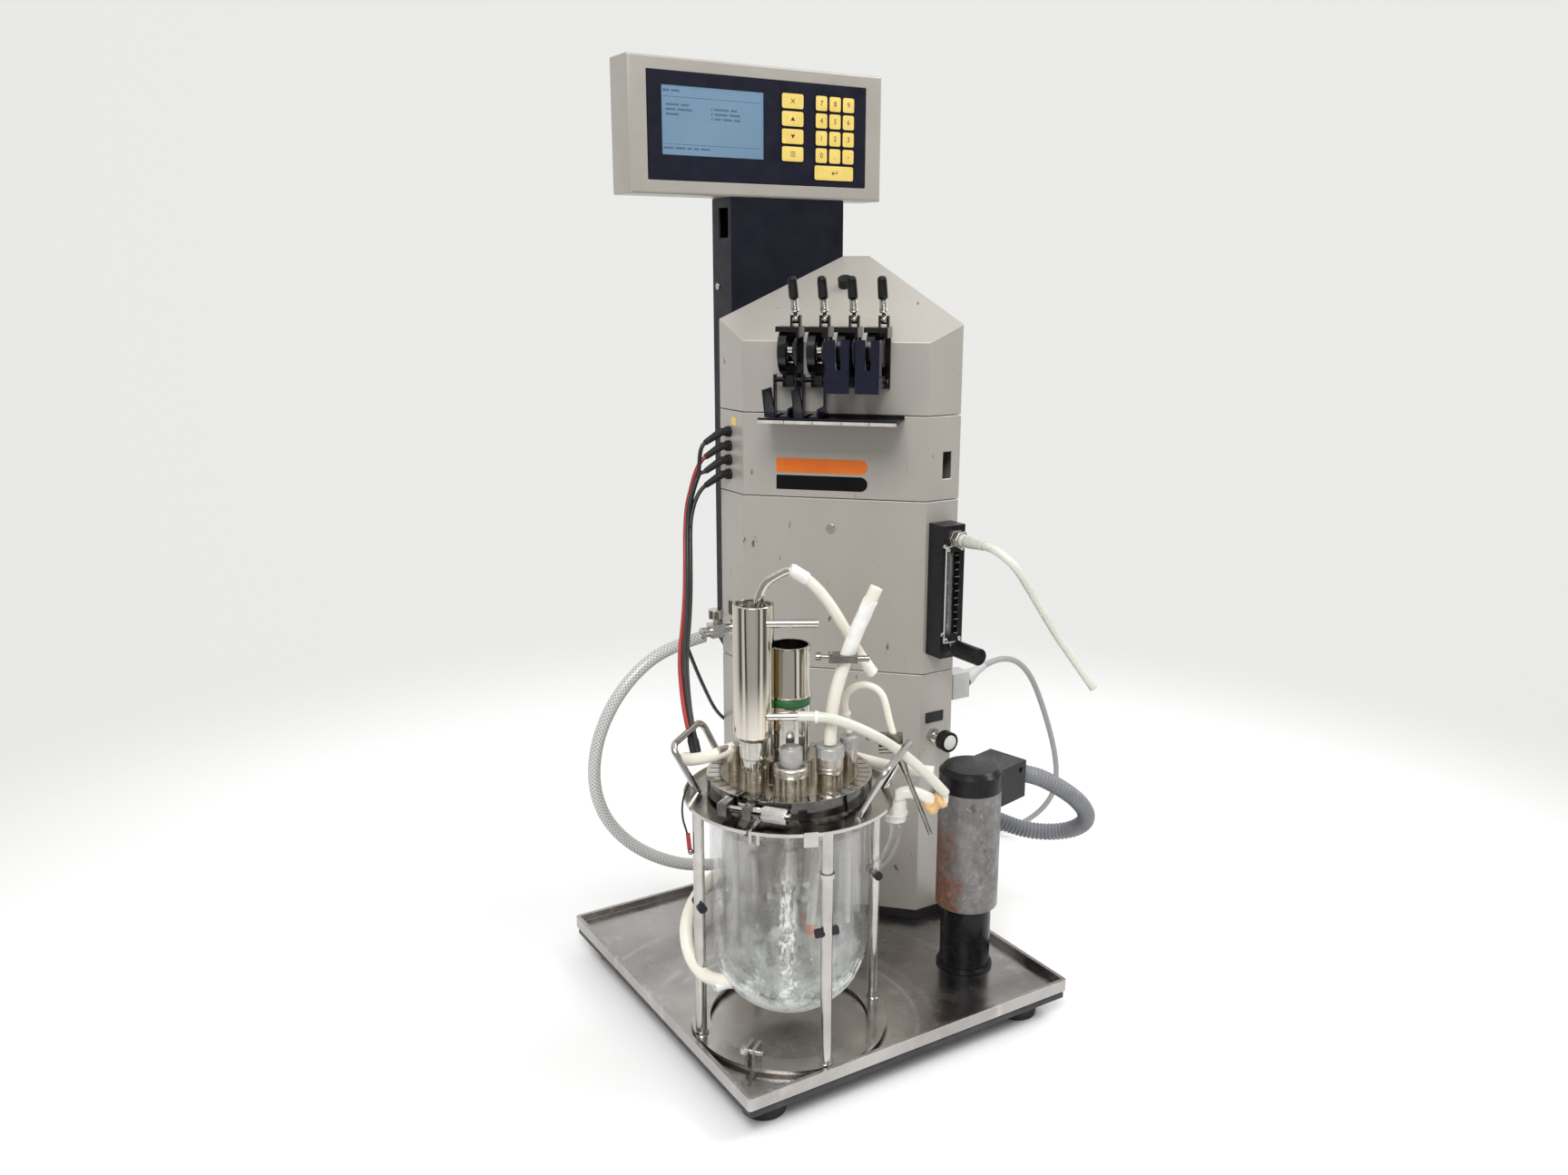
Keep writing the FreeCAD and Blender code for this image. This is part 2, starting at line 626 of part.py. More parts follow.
def cover_screws():
    """The heads that hold the covers and the column."""
    column_y = BACK + S["column_deep"] * 0.7
    heads = [
        screw("face_screw", face_point(-2.5, 0, MIDDLE_LOW + 147), OUT_OF_FACE, 9.0),
        screw("column_screw_up", (S["column_left"], column_y, S["display_low"] - 87), ALONG_MINUS_X),
        screw("column_screw_low", (S["column_left"], column_y, S["column_low"] + 36), ALONG_MINUS_X),
    ]
    back_y = S["display_front"] + S["display_deep"]
    for i, x in enumerate((20, 272)):
        for j, z in enumerate((12, 113)):
            at = (S["display_left"] + x, back_y, S["display_low"] + z)
            heads.append(screw(f"case_screw_{i}{j}", at, ((1, 0, 0), -90), 6.0))
    node(group("heads", heads), "cover_screws")


# ------------------------------------------------------------------ tube pumps
def on_face(obj):
    """Turns a piece laid out as (along the face, into the tower, up) onto the bevel."""
    middle = S["face_leg"] / 2
    at = (S["tower_left"] + middle, S["tower_front"] + middle, 0)
    return place(obj, at, ((0, 0, 1), -45))


def pump_side(number):
    """The middle of a pump along the face; pumps count from 0 at the left."""
    return S["pump_first"] + S["pump_pitch"] * number


ALONG_FACE = ((0, 1, 0), 90)


def pump_frame(number):
    """A round housing, a bridge with the lever's ears, and a foot with the hinge pin."""
    tag = f"pump{number}"
    side, top, out, z = pump_side(number), S["pump_top"], S["rotor_out"], S["rotor_z"]
    half, sheet, pin_out = S["pump_wide"] / 2, S["pump_sheet"], S["hinge_out"]
    left = side - half
    housing_long = S["housing_long"]
    housing = cylinder(f"{tag}_housing", S["housing_wide"], housing_long,
                       (left + S["housing_shift"], -S["housing_out"], z), ALONG_FACE)
    bridge_out = S["hinge_out"] + 16
    middle = side + S["lever_side"]
    pieces = [
        housing,
        box(f"{tag}_bridge", S["pump_wide"], bridge_out, sheet * 2, (left, -bridge_out, top - sheet * 2)),
        box(f"{tag}_bracket", sheet, bridge_out, 10, (side + half - sheet, -bridge_out, top - 10)),
        box(f"{tag}_back", S["pump_wide"] - 2, sheet, top - S["pump_low"],
            (left + 1, -sheet, S["pump_low"])),
        box(f"{tag}_foot", 8, pin_out + 5, 9, (side - 4, -pin_out - 5, S["hinge_z"] - 4.5)),
        cylinder(f"{tag}_pin", S["hinge_pin"], S["hinge_long"],
                 (left - 3.4 - S["cover_shift"], -pin_out, S["hinge_z"]), ALONG_FACE),
        cylinder(f"{tag}_lever_pin", 3, 10, (middle - 5, -S["lever_out"], S["lever_z"]), ALONG_FACE),
    ]
    for i, shift in enumerate((-5.0, 3.0)):
        pieces.append(box(f"{tag}_ear{i}", 2, 7, S["lever_z"] - top + 5,
                          (middle + shift, -S["lever_out"] - 3.5, top - 1)))
    whole = fuse(f"{tag}_whole", pieces)
    behind = box(f"{tag}_behind", 60, 60, 200, (side - 30, 0, S["pump_low"] - 60))
    bore = cylinder(f"{tag}_bore", S["rotor_shaft"] + S["running_gap"] / 2, 60,
                    (side - 30, -out, z), ALONG_FACE)
    return cut(f"{tag}_frame", cut(f"{tag}_front", whole, behind), bore)


def pump_rotor(number):
    """Two discs with rollers between them and a hub, on a shaft in the housing."""
    tag = f"rotor{number}"
    side, out, z = pump_side(number), S["rotor_out"], S["rotor_z"]
    first = side - S["pump_wide"] / 2 + S["housing_shift"] + S["housing_long"] + 0.5
    disc, long = S["rotor_wide"], S["roller_long"]
    pieces = [
        cylinder(f"{tag}_shaft", S["rotor_shaft"], S["housing_long"] + long, (first - S["housing_long"] - 0.2,
                                                                             -out, z), ALONG_FACE),
        cylinder(f"{tag}_near", disc, 1.2, (first, -out, z), ALONG_FACE),
        cylinder(f"{tag}_hub", disc * 0.62, long, (first, -out, z), ALONG_FACE),
        cylinder(f"{tag}_far", disc, 1.2, (first + long - 1.2, -out, z), ALONG_FACE),
    ]
    orbit = disc / 2 - S["roller_wide"] / 2 - 0.6
    for i in range(3):
        angle = math.radians(12 + 120 * i)
        at = (first + 0.6, -out - orbit * math.cos(angle), z + orbit * math.sin(angle))
        pieces.append(cylinder(f"{tag}_roller{i}", S["roller_wide"], long - 1.2, at, ALONG_FACE))
    return fuse(f"{tag}_whole", pieces)


def pump_lever(number):
    """A sprung latch lever with a black grip, leaning out from its pin."""
    tag = f"lever{number}"
    side = pump_side(number) + S["lever_side"]
    at = (side, -S["lever_out"], S["lever_z"])
    lean = S["lever_lean"].number
    lean_turn = ((1, 0, 0), lean)
    over, rise = math.sin(math.radians(lean)), math.cos(math.radians(lean))

    def up(distance):
        distance = size(distance)
        return (at[0], at[1] - distance * over, at[2] + distance * rise)

    spring_low = S["lever_rod_long"]
    grip_low = spring_low + S["spring_long"]
    eye = cylinder(f"{tag}_eye", 8, 5.2, (side - 2.6, at[1], at[2]), ALONG_FACE)
    rod = cylinder(f"{tag}_rod", S["lever_rod"], grip_low + 2, up(1), lean_turn)
    spring = cylinder(f"{tag}_spring", S["spring_wide"], S["spring_long"], up(spring_low), lean_turn)
    grip = cone(f"{tag}_grip", S["grip_wide"], S["grip_wide"] - 0.8, S["grip_long"], up(grip_low), lean_turn)
    whole = fuse(f"{tag}_whole", [eye, rod, spring, grip])
    hole = cylinder(f"{tag}_hole", 3.1, 8, (side - 4, at[1], at[2]), ALONG_FACE)
    return cut(f"{tag}_drilled", whole, hole)


def pump_cover(number, opened):
    """A folded cover with a tube notch and splayed wings, on the pin below the rotor."""
    tag = f"cover{number}"
    side, sheet, out, z = pump_side(number), S["cover_sheet"], S["hinge_out"], S["hinge_z"]
    left = side - S["pump_wide"] / 2 - 1 - sheet - S["cover_shift"]
    right = left + S["cover_wide"]
    front, low, high = S["cover_out"], z - 10, z + 40
    plate = box(f"{tag}_plate", S["cover_wide"], sheet, S["cover_high"], (left, -front, low))
    notch = box(f"{tag}_notch", 5.3, sheet * 3, 30, (left + 9.4, -front - sheet, high - 28))
    pieces = [cut(f"{tag}_notched", plate, notch)]
    splay = S["wing_splay"].number
    for name, x, deep, turn in (("left", left, S["left_wing"], splay), ("right", right, S["right_wing"], -splay)):
        wing = box(f"{tag}_{name}_wing", sheet, deep, 34, (x if turn > 0 else x - sheet, -front, z + 6))
        wing.Placement.Rotation = FreeCAD.Rotation(VEC(0, 0, 1), turn)
        pieces.append(wing)
        lug = box(f"{tag}_{name}_lug", sheet, front - out + 5, 10,
                  (x if turn > 0 else x - sheet, -front, z - 5))
        pieces.append(lug)
    whole = fuse(f"{tag}_whole", pieces)
    pin = cylinder(f"{tag}_pin_hole", S["hinge_pin"] + 0.1, 60, (side - 30, -out, z), ALONG_FACE)
    cover = group(f"{tag}_cover", [cut(f"{tag}_drilled", whole, pin)])
    if opened:
        swing = FreeCAD.Rotation(VEC(1, 0, 0), S["open_turn"].number)
        cover.Placement.Rotation = swing
        # the swing about the pin's axis at (-out, z)
        place(cover, (0, z * math.sin(swing.Angle) - out + out * math.cos(swing.Angle),
                      z - z * math.cos(swing.Angle) + out * math.sin(swing.Angle)))
    return cover


def pump_parts():
    """Four pump heads; the covers of the first two hang open, the other two are shut."""
    count = range(4)
    node(group("pumps", [on_face(pump_frame(i)) for i in count]), "pump_frames")
    node(group("rotors", [on_face(pump_rotor(i)) for i in count]), "pump_rotors")
    for i in count:
        node(group(f"lever_{i + 1}", [on_face(pump_lever(i))]), f"pump_lever_{i + 1}")
    opened = [group(f"open_cover{i}", [pump_cover(i, True)]) for i in (0, 1)]
    node(group("covers_open", [on_face(cover) for cover in opened]), "pump_covers_open")
    shut = [group(f"shut_cover{i}", [pump_cover(i, False)]) for i in (2, 3)]
    node(group("covers_shut", [on_face(cover) for cover in shut]), "pump_covers_shut")

    sheet, out, low = S["gutter_sheet"], S["gutter_out"], S["gutter_z"]
    lip = S["gutter_lip"]
    gutter = Piece("gutter")
    made = gutter.sketch("YZ_Plane", S["gutter_shift"] - S["gutter_long"] / 2)
    gutter.outline(made, [
        (0, low), (-out, low), (-out, low + lip), (-out + sheet, low + lip),
        (-out + sheet, low + sheet), (-sheet, low + sheet), (-sheet, low + lip), (0, low + lip),
    ])
    gutter.pad(made, S["gutter_long"])
    node(group("gutter_on_face", [on_face(gutter.body)]), "pump_gutter")


# ------------------------------------------------------------------ flow meter, valves, plugs
def meter_parts():
    """The variable-area flow meter: block, glass tube, float and valve knob."""
    left, wide, deep = S["meter_left"], S["meter_wide"], S["meter_deep"]
    low, high, front = S["meter_low"], S["meter_high"], S["tower_front"] - S["meter_deep"]
    axis_x, tube = S["meter_axis_x"], S["meter_tube_wide"]
    axis_y = front + tube / 2 + 3
    block = box("meter_block", wide, deep, high, (left, front, low))
    slot = box("meter_slot", S["meter_slot_wide"], tube + 6, S["meter_slot_high"],
               (axis_x - S["meter_slot_wide"] / 2, front - 1, S["meter_slot_low"]))
    neck = cylinder("meter_neck", 9, 9, (axis_x, front + 0.2, S["meter_knob_z"]), ALONG_MINUS_Y)
    hex_nut = prism("meter_hex", 15, 12, (axis_x, front + 0.2, S["meter_fit_z"]), ALONG_MINUS_Y)
    barb = cylinder("meter_barb", 9, 26, (axis_x, front, S["meter_fit_z"]), ALONG_MINUS_Y)
    tip = cone("meter_tip", 11, 8, 18, (axis_x, front - 26, S["meter_fit_z"]), ALONG_MINUS_Y)
    body = fuse("meter_whole", [cut("meter_cut", block, slot), neck, hex_nut, barb, tip])
    node(body, "flowmeter_body")

    low_seat, fit = S["meter_slot_low"] + S["lid_gap"], S["lid_gap"]
    tube_high = S["meter_slot_high"] - fit * 2
    outside = cylinder("tube_outside", tube, tube_high, (axis_x, axis_y, low_seat))
    inside = cylinder("tube_inside", S["meter_tube_bore"], tube_high - 3, (axis_x, axis_y, low_seat + 3))
    node(cut("meter_tube", outside, inside), "flowmeter_tube")
    bob = cone("float", S["float_wide"] - 3, S["float_wide"], 7, (axis_x, axis_y, low_seat + 3.2))
    node(fuse("float_whole", [bob, cylinder("float_top", S["float_wide"], 2,
                                            (axis_x, axis_y, low_seat + 10))]), "flowmeter_float")
    knob_y = front + 0.2 - 9 - fit
    long = S["meter_knob_long"]
    knob = cylinder("meter_knob", S["meter_knob_wide"], long, (axis_x, knob_y, S["meter_knob_z"]),
                    ALONG_MINUS_Y)
    node(group("meter_dial", [knob]), "flowmeter_knob")


def valve_parts():
    """The needle valve, the water tap with its knob, and the lower hose barb."""
    x, z, front = S["needle_x"], S["needle_z"], S["tower_front"]
    nut = prism("needle_nut", 15, 5, (x, front, z), ALONG_MINUS_Y)
    stem = cylinder("needle_stem", 8.5, 18, (x, front, z), ALONG_MINUS_Y)
    needle = fuse("needle_whole", [nut, stem])
    fit = S["lid_gap"]
    knob = cylinder("needle_dial", S["needle_knob_wide"], S["needle_knob_long"],
                    (x, front - 18 - fit, z), ALONG_MINUS_Y)
    node(group("needle_turn", [knob]), "needle_knob")

    left, y, z = S["tower_left"], S["tap_y"], S["tap_z"]
    tap = [
        prism("tap_nut", 17, 6, (left, y, z), ALONG_MINUS_X),
        cylinder("tap_neck", 9.5, 18, (left, y, z), ALONG_MINUS_X),
        box("tap_block", 15, 14, 14, (left - 30, y - 7, z - 7)),
        cylinder("tap_barb", 11, 12, (left - 28, y, z - 1), ALONG_MINUS_X),
        cylinder("tap_stem", 6, 10, (left - 22.5, y, z + 2)),
    ]
    lower = [
        prism("barb_nut", 17, 6, (left, y, S["lower_barb_z"]), ALONG_MINUS_X),
        cylinder("barb", 11, 18, (left, y, S["lower_barb_z"]), ALONG_MINUS_X),
    ]
    node(group("water", [fuse("tap_whole", tap), fuse("barb_whole", lower), needle]), "tower_fittings")
    knob = prism("tap_dial", S["tap_knob_wide"], 10, (left - 22.5, y, z + 12 + fit), sides=8)
    node(group("tap_turn", [knob]), "tap_knob")


def cable_plug_parts():
    """Four booted plugs in a row on the left strip and the grommet on the roof."""
    left, y = S["tower_left"], S["gland_y"]
    pieces = []
    for i in range(4):
        z = S["gland_z"] - S["gland_pitch"] * i
        flange = cylinder(f"plug_flange{i}", S["gland_wide"], 4, (left, y, z), ALONG_MINUS_X)
        neck = cylinder(f"plug_neck{i}", S["gland_wide"] - 3, 12, (left, y, z), ALONG_MINUS_X)
        boot = cone(f"plug_boot{i}", S["gland_wide"] - 2.4, S["gland_wide"] - 5, 22,
                    (left - 9, y, z + 0.6), ((0, 1, 0), -118))
        pieces.append(fuse(f"plug{i}", [flange, neck, boot]))
    roof_x, roof_y = left + 123, S["tower_front"] + 133
    front = S["tower_left"] + S["tower_front"] + S["face_leg"]
    inward = (roof_x + roof_y - front) * ROOT_HALF
    roof_z = TOP_LOW + S["top_cover_high"] + inward * S["roof_rise"]
    tilt = math.degrees(math.atan(S["roof_rise"].number))
    pieces.append(cylinder("grommet", 14, 9, (roof_x, roof_y, roof_z), ((1, -1, 0), tilt)))
    node(group("plugs", pieces), "cable_plugs")


# ------------------------------------------------------------------ swept wires and tubes
def rounded_path(points, radius_at):
    """Straight runs joined by tangent arcs; radius_at gives the radius at each corner."""
    points = [VEC(*(float(value) for value in point)) for point in points]
    edges, start, radii = [], points[0], []
    for i in range(1, len(points) - 1):
        back = points[i - 1] - points[i]
        ahead = points[i + 1] - points[i]
        shorter = min(back.Length, ahead.Length)
        turn = math.pi - back.getAngle(ahead)
        back.normalize()
        ahead.normalize()
        radius = radius_at(shorter, turn)
        radii.append(radius)
        reach = radius * math.tan(turn / 2)
        first, last = points[i] + back * reach, points[i] + ahead * reach
        inward = back + ahead
        inward.normalize()
        middle = points[i] + inward * (radius / math.cos(turn / 2) - radius)
        edges.append(Part.LineSegment(start, first).toShape())
        edges.append(Part.Arc(first, middle, last).toShape())
        start = last
    edges.append(Part.LineSegment(start, points[-1]).toShape())
    return Part.Wire(edges), radii


def swept(path, wide):
    """A round rod along a path."""
    first = path.Edges[0]
    start = first.valueAt(first.FirstParameter)
    along = first.tangentAt(first.FirstParameter)
    section = Part.Wire(Part.makeCircle(float(wide) / 2, start, along))
    return path.makePipeShell([section], True, False)


def wire(name, points, wide, bend):
    """A bent round wire with one bend radius."""
    path, _ = rounded_path(points, lambda shorter, turn: float(bend))
    return formed(name, swept(path, wide))


def relieved(shape, fixed):
    """A tube's shape, cut away where it is pushed over a nipple or into a fitting."""
    to_nodes = VEC(NODES[0].Placement.Base)
    shape.translate(to_nodes)
    for other in fixed:
        if shape.BoundBox.intersect(other.BoundBox):
            shape = shape.cut(other)
    shape = max(shape.Solids, key=lambda solid: solid.Volume)
    shape.translate(-to_nodes)
    return shape


def tube(name, points, wide, fixed):
    """A limp tube through points, bent as gently as its runs allow; prints its bends."""
    path, radii = rounded_path(points, lambda shorter, turn: 0.45 * shorter / math.tan(turn / 2))
    shape = swept(path, wide)
    length = path.Length
    ideal = math.pi * (float(wide) / 2) ** 2 * length
    print(f"{name}: length {length:.0f}, tightest bend {min(radii) / float(wide):.1f} diameters, "
          f"volume ratio {shape.Volume / ideal:.4f}, valid {shape.isValid()}")
    return formed(name, relieved(shape, fixed))


# ------------------------------------------------------------------ vessel stand
def at_vessel(radius, degrees, z):
    """A point around the vessel's axis."""
    x, y = about(VX, VY, radius, degrees)
    return (x, y, size(z))


def radial_box(name, inner, outer, wide, low, high, degrees, shift=0.0):
    """A box that points away from the vessel's axis, moved sideways by shift."""
    angle = math.radians(degrees)
    side = size(wide) / 2 - shift
    x, y = about(VX, VY, inner, degrees)
    at = (x + side * math.sin(angle), y - side * math.cos(angle), low)
    return box(name, size(outer) - inner, wide, size(high) - low, at, ((0, 0, 1), degrees))


def stand_parts():
    """The welded stand: split ring, four legs, top plate with a clamp split, two handles."""
    ring_low = FLOOR
    ring_top = FLOOR + S["ring_foot"] + S["ring_sheet"]
    inset = S["ring_foot_inset"]
    ring = cut("ring", cylinder("ring_disc", S["ring_out"] * 2, S["ring_sheet"],
                                (VX, VY, ring_low + S["ring_foot"])),
               cylinder("ring_hole", S["ring_in"] * 2, 20, (VX, VY, ring_low - 5)))
    under = cut("ring_under", cylinder("under_disc", S["ring_out"] * 2 - inset * 2, S["ring_foot"],
                                       (VX, VY, ring_low)),
                cylinder("under_hole", S["ring_in"] * 2 + inset * 2, 20, (VX, VY, ring_low - 5)))
    plate_low = S["plate_top"] - S["plate_thick"]
    plate = cut("plate", cylinder("plate_disc", S["plate_out"] * 2, S["plate_thick"], (VX, VY, plate_low)),
                cylinder("plate_hole", S["plate_hole"] * 2, 20, (VX, VY, plate_low - 5)))
    split = S["split_angle"]
    angle = split.number
    gap, thick = S["split_wide"], S["ear_thick"]
    ring_cut = radial_box("ring_split", 50, 120, gap, ring_low - 5, ring_top + 30, angle)
    plate_cut = radial_box("plate_split", 50, 120, gap, plate_low - 30, S["plate_top"] + 5, angle)
    pieces = [cut("ring_open", fuse("ring_both", [ring, under]), ring_cut), cut("plate_open", plate, plate_cut)]
    ear_in = S["ear_out"]
    for i, way in enumerate((-1, 1)):
        shift = (gap + thick) / 2 * way
        pieces.append(radial_box(f"ring_ear{i}", ear_in, ear_in + S["ear_long"], thick,
                                 ring_top - 1, ring_top + S["ear_high"], angle, shift))
        pieces.append(radial_box(f"plate_ear{i}", S["plate_ear_in"], S["plate_ear_in"] + S["ear_long"], thick,
                                 plate_low - S["plate_ear_high"], plate_low + 1, angle, shift))
    reach = gap + thick * 2 + 10
    for tag, radius, z in (("ring", ear_in + S["ear_long"] / 2, ring_top + S["ear_high"] - 7),
                           ("plate", S["plate_ear_in"] + S["ear_long"] / 2, plate_low - 7)):
        x, y = about(VX, VY, radius, angle)
        side = math.radians(angle)
        start = (x + reach / 2 * math.sin(side), y - reach / 2 * math.cos(side), z)
        turn = ((math.cos(side), math.sin(side), 0), -90)
        pieces.append(cylinder(f"{tag}_bolt", 5, reach, start, turn))
        pieces.append(prism(f"{tag}_head", 10, 4, start, turn))
    for i in range(4):
        degrees = S["leg_first"].number + 90 * i
        pieces.append(cylinder(f"leg{i}", S["leg_wide"], S["plate_top"] - ring_low,
                               at_vessel(S["leg_circle"], degrees, ring_low)))
        pieces.append(cylinder(f"leg_collar{i}", S["leg_collar_wide"], S["leg_collar_high"],
                               at_vessel(S["leg_circle"], degrees, ring_top)))
    front_leg = S["leg_first"].number + 90
    pieces.append(cylinder("leg_ring", S["leg_collar_wide"], 4, at_vessel(S["leg_circle"], front_leg, 214)))
    pieces.append(radial_box("tab", S["plate_hole"], S["plate_out"] + 2, 12, S["plate_top"] - 1,
                             S["plate_top"] + 2, front_leg - 11))
    pieces.append(radial_box("tab_fold", S["plate_out"], S["plate_out"] + 2, 12, S["plate_top"] - 11,
                             S["plate_top"] + 2, front_leg - 11))
    foot_z = S["plate_top"] - 1
    left = [at_vessel(80, 151, foot_z), (VX - 85.4, VY + 58.4, size(297)), (VX - 36, VY + 96, size(300.5)),
            at_vessel(80, 105, foot_z)]
    right = [at_vessel(80, -76.3, foot_z), (VX + 33.7, VY - 96.7, size(301)), (VX + 89, VY - 57.5, size(306)),
             at_vessel(83.7, -27.5, foot_z)]
    for tag, points in (("left", left), ("right", right)):
        pieces.append(wire(f"handle_{tag}", points, S["handle_wire"], 9))
    node(group("stand", [fuse("stand_whole", pieces)]), "vessel_stand")

    bumpers = []
    for i in range(4):
        degrees = S["leg_first"].number + 90 * i
        angle = math.radians(degrees)
        x, y = about(VX, VY, S["leg_circle"], degrees)
        half = S["bumper_long"] / 2
        start = (x + half * math.sin(angle), y - half * math.cos(angle), S["bumper_z"])
        clip = cylinder(f"bumper{i}", S["bumper_wide"], S["bumper_long"], start,
                        ((math.cos(angle), math.sin(angle), 0), -90))
        hole = cylinder(f"bumper_hole{i}", S["leg_wide"], 30, (x, y, S["bumper_z"] - 15))
        bumpers.append(cut(f"clip{i}", clip, hole))
    node(group("bumpers", bumpers), "leg_bumpers")


# ------------------------------------------------------------------ glass vessel and lid
def dome(name, wide, top):
    """A round-bottomed cylinder around the vessel's axis."""
    centre = S["dome_centre"]
    return fuse(name, [ball(f"{name}_ball", wide, (VX, VY, centre)),
                       cylinder(f"{name}_wall", wide, size(top) - centre, (VX, VY, centre))])


def vessel_parts():
    """The jacketed glass vessel with its side arm and its lower nipple."""
    wall, out, neck = S["glass_wall"], S["jacket_out"], S["neck_out"]
    round_top, shoulder = S["shoulder_round"], S["shoulder_z"]
    flange_low = S["plate_top"] + S["flange_gap"]
    flange_top = flange_low + S["flange_thick"]
    outer = [
        dome("jacket", out * 2, shoulder - round_top),
        cone("shoulder_low", out * 2, (out - round_top * 0.3) * 2, round_top * 0.7,
             (VX, VY, shoulder - round_top)),
        cone("shoulder_top", (out - round_top * 0.3) * 2, (out - round_top) * 2, round_top * 0.3,
             (VX, VY, shoulder - round_top * 0.3)),
        cylinder("neck", neck * 2, flange_low - shoulder + 2, (VX, VY, shoulder - 1)),
        cylinder("flange", S["flange_out"] * 2, S["flange_thick"], (VX, VY, flange_low)),
    ]
    route = [(149, 60, 160), (155, 57, 180), (171, 50, 192), (179, 45, 212), (177, 45, 240)]
    arm, _ = rounded_path([size_point(p) for p in route], lambda shorter, turn: 0.45 * shorter / math.tan(turn / 2))
    nipple_z = 86
    outer.append(formed("arm", swept(arm, 11)))
    outer.append(cylinder("nipple", 9, 26, (VX - 49, VY + 4, nipple_z), ALONG_MINUS_X))
    void = cut("void", dome("void_outside", (out - wall) * 2, shoulder - wall * 2),
               dome("void_inside", neck * 2, shoulder))
    inside = dome("inside", (neck - wall) * 2, flange_top + 5)
    bores = fuse("bores", [formed("arm_bore", swept(arm, 7)),
                           cylinder("nipple_bore", 5, 30, (VX - 46, VY + 4, nipple_z), ALONG_MINUS_X)])
    clear = cut("bores_outside", bores, dome("inner_wall", neck * 2 - wall / 2, flange_top))
    glass = cut("glass_bored", cut("glass_hollow", cut("glass_solid", fuse("glass_outer", outer), void), clear),
                inside)
    node(group("glass", [glass]), "glass_vessel")
    return flange_top


def size_point(point):
    return tuple(size(value) for value in point)


PORTS = {
    "condenser": (22.0, 10.0), "plug": (30.0, 17.6), "sample": (22.0, 13.6),
    "thin": (14.0, 13.8), "vent": (13.0, 17.8),
}


def port_at(name):
    return VX + S[f"{name}_x"], VY + S[f"{name}_y"]


def lid_parts(flange_top):
    """The lid with its bosses, and the slit clamp band around lid and flange."""
    edge_low = flange_top + S["lid_gap"]
    lid_top = S["lid_top"]
    sheet = S["band_sheet"]
    edge_top = lid_top - sheet - 0.2
    centre_wide = S["band_grip"] * 2 - 1
    lid = [cylinder("lid_edge", S["lid_out"] * 2, edge_top - edge_low, (VX, VY, edge_low)),
           cylinder("lid_centre", centre_wide, lid_top - edge_low, (VX, VY, edge_low))]
    for name, (wide, high) in PORTS.items():
        x, y = port_at(name)
        lid.append(cylinder(f"boss_{name}", wide, size(high) + 1, (x, y, lid_top - 1)))
    lid.append(cylinder("drive_boss", S["drive_wide"] + 9, S["drive_base"], (VX, VY, lid_top - 1)))
    for i in range(3):
        x, y = about(VX, VY, S["drive_wide"] / 2 + 2.8, 15 + 120 * i)
        lid.append(cylinder(f"drive_screw{i}", 3, S["drive_base"] + 2.4, (x, y, lid_top - 1)))
    holes = [cylinder("shaft_bore", S["shaft_wide"] + 0.1, 80, (VX, VY, edge_low - 10))]
    for name in PORTS:
        x, y = port_at(name)
        holes.append(cylinder(f"bore_{name}", S["port_bore"], 80, (x, y, edge_low - 10)))
    node(cut("lid", fuse("lid_whole", lid), fuse("lid_holes", holes)), "head_plate")

    low, grip, out = S["band_low"], S["band_grip"], S["band_out"]
    profile = [(grip, low), (out, low), (out, lid_top), (grip, lid_top), (grip, lid_top - sheet),
               (out - sheet, lid_top - sheet), (out - sheet, low + sheet), (grip, low + sheet)]
    band = Piece("band_ring")
    made = band.sketch("XZ_Plane")
    band.outline(made, profile)
    band.revolve(made)
    made = band.sketch("XY_Plane", low)
    band.outline(made, rectangle(grip - 2, -S["slit_wide"] / 2, out - grip, S["slit_wide"]))
    slits = band.pocket(made, midplane=True)
    band.around([slits], S["band_slits"], made)
    place(band.body, (VX, VY, 0))
    split = S["split_angle"].number
    opening = radial_box("band_opening", 50, 90, 10, low - 5, lid_top + 5, split - S["opening_turn"].number)
    open_band = cut("band_open", band.body, opening)
    angle = math.radians(split)
    bolt_z, bolt_out = (low + lid_top) / 2, S["clamp_bolt_out"]
    x, y = about(VX, VY, bolt_out, split)

    def along(distance):
        """A point on the clamp bolt's axis."""
        return (x - size(distance) * math.sin(angle), y + size(distance) * math.cos(angle), bolt_z)

    turn = ((math.cos(angle), math.sin(angle), 0), -90)
    lugs = []
    for i, shift in enumerate((-31.0, -9.0)):
        inner = about(VX, VY, bolt_out - 20, split)
        at = (inner[0] - shift * math.sin(angle), inner[1] + shift * math.cos(angle), bolt_z - 5.5)
        lugs.append(box(f"lug{i}", 26, 8, 11, at, ((0, 0, 1), split)))
    keep_out = cylinder("band_room", (out - sheet / 2) * 2, 30, (VX, VY, low - 5))
    trimmed = cut("lugs_trimmed", fuse("lugs", lugs), keep_out)
    collar = cylinder("lug_collar", 10, 8, along(-1), turn)
    bolt = cylinder("clamp_bolt", S["clamp_bolt_wide"], 65, along(-33), turn)
    node(group("band_whole", [fuse("band_lugs", [open_band, bolt, collar, trimmed])]), "clamp_band")

    nut = cylinder("thumb_nut", S["clamp_nut_wide"], S["clamp_nut_long"], along(7 + S["lid_gap"]), turn)
    thread = cylinder("nut_thread", S["clamp_bolt_wide"] + 0.1, 90, along(-40), turn)
    node(group("thumb_nut_turn", [cut("thumb_nut_bored", nut, thread)]), "clamp_nut")


# ------------------------------------------------------------------ ports and the stirrer
def knurled(name, wide, high, at):
    """A round nut with flats around it, like coarse knurling."""
    return prism(name, wide, high, at, sides=16)


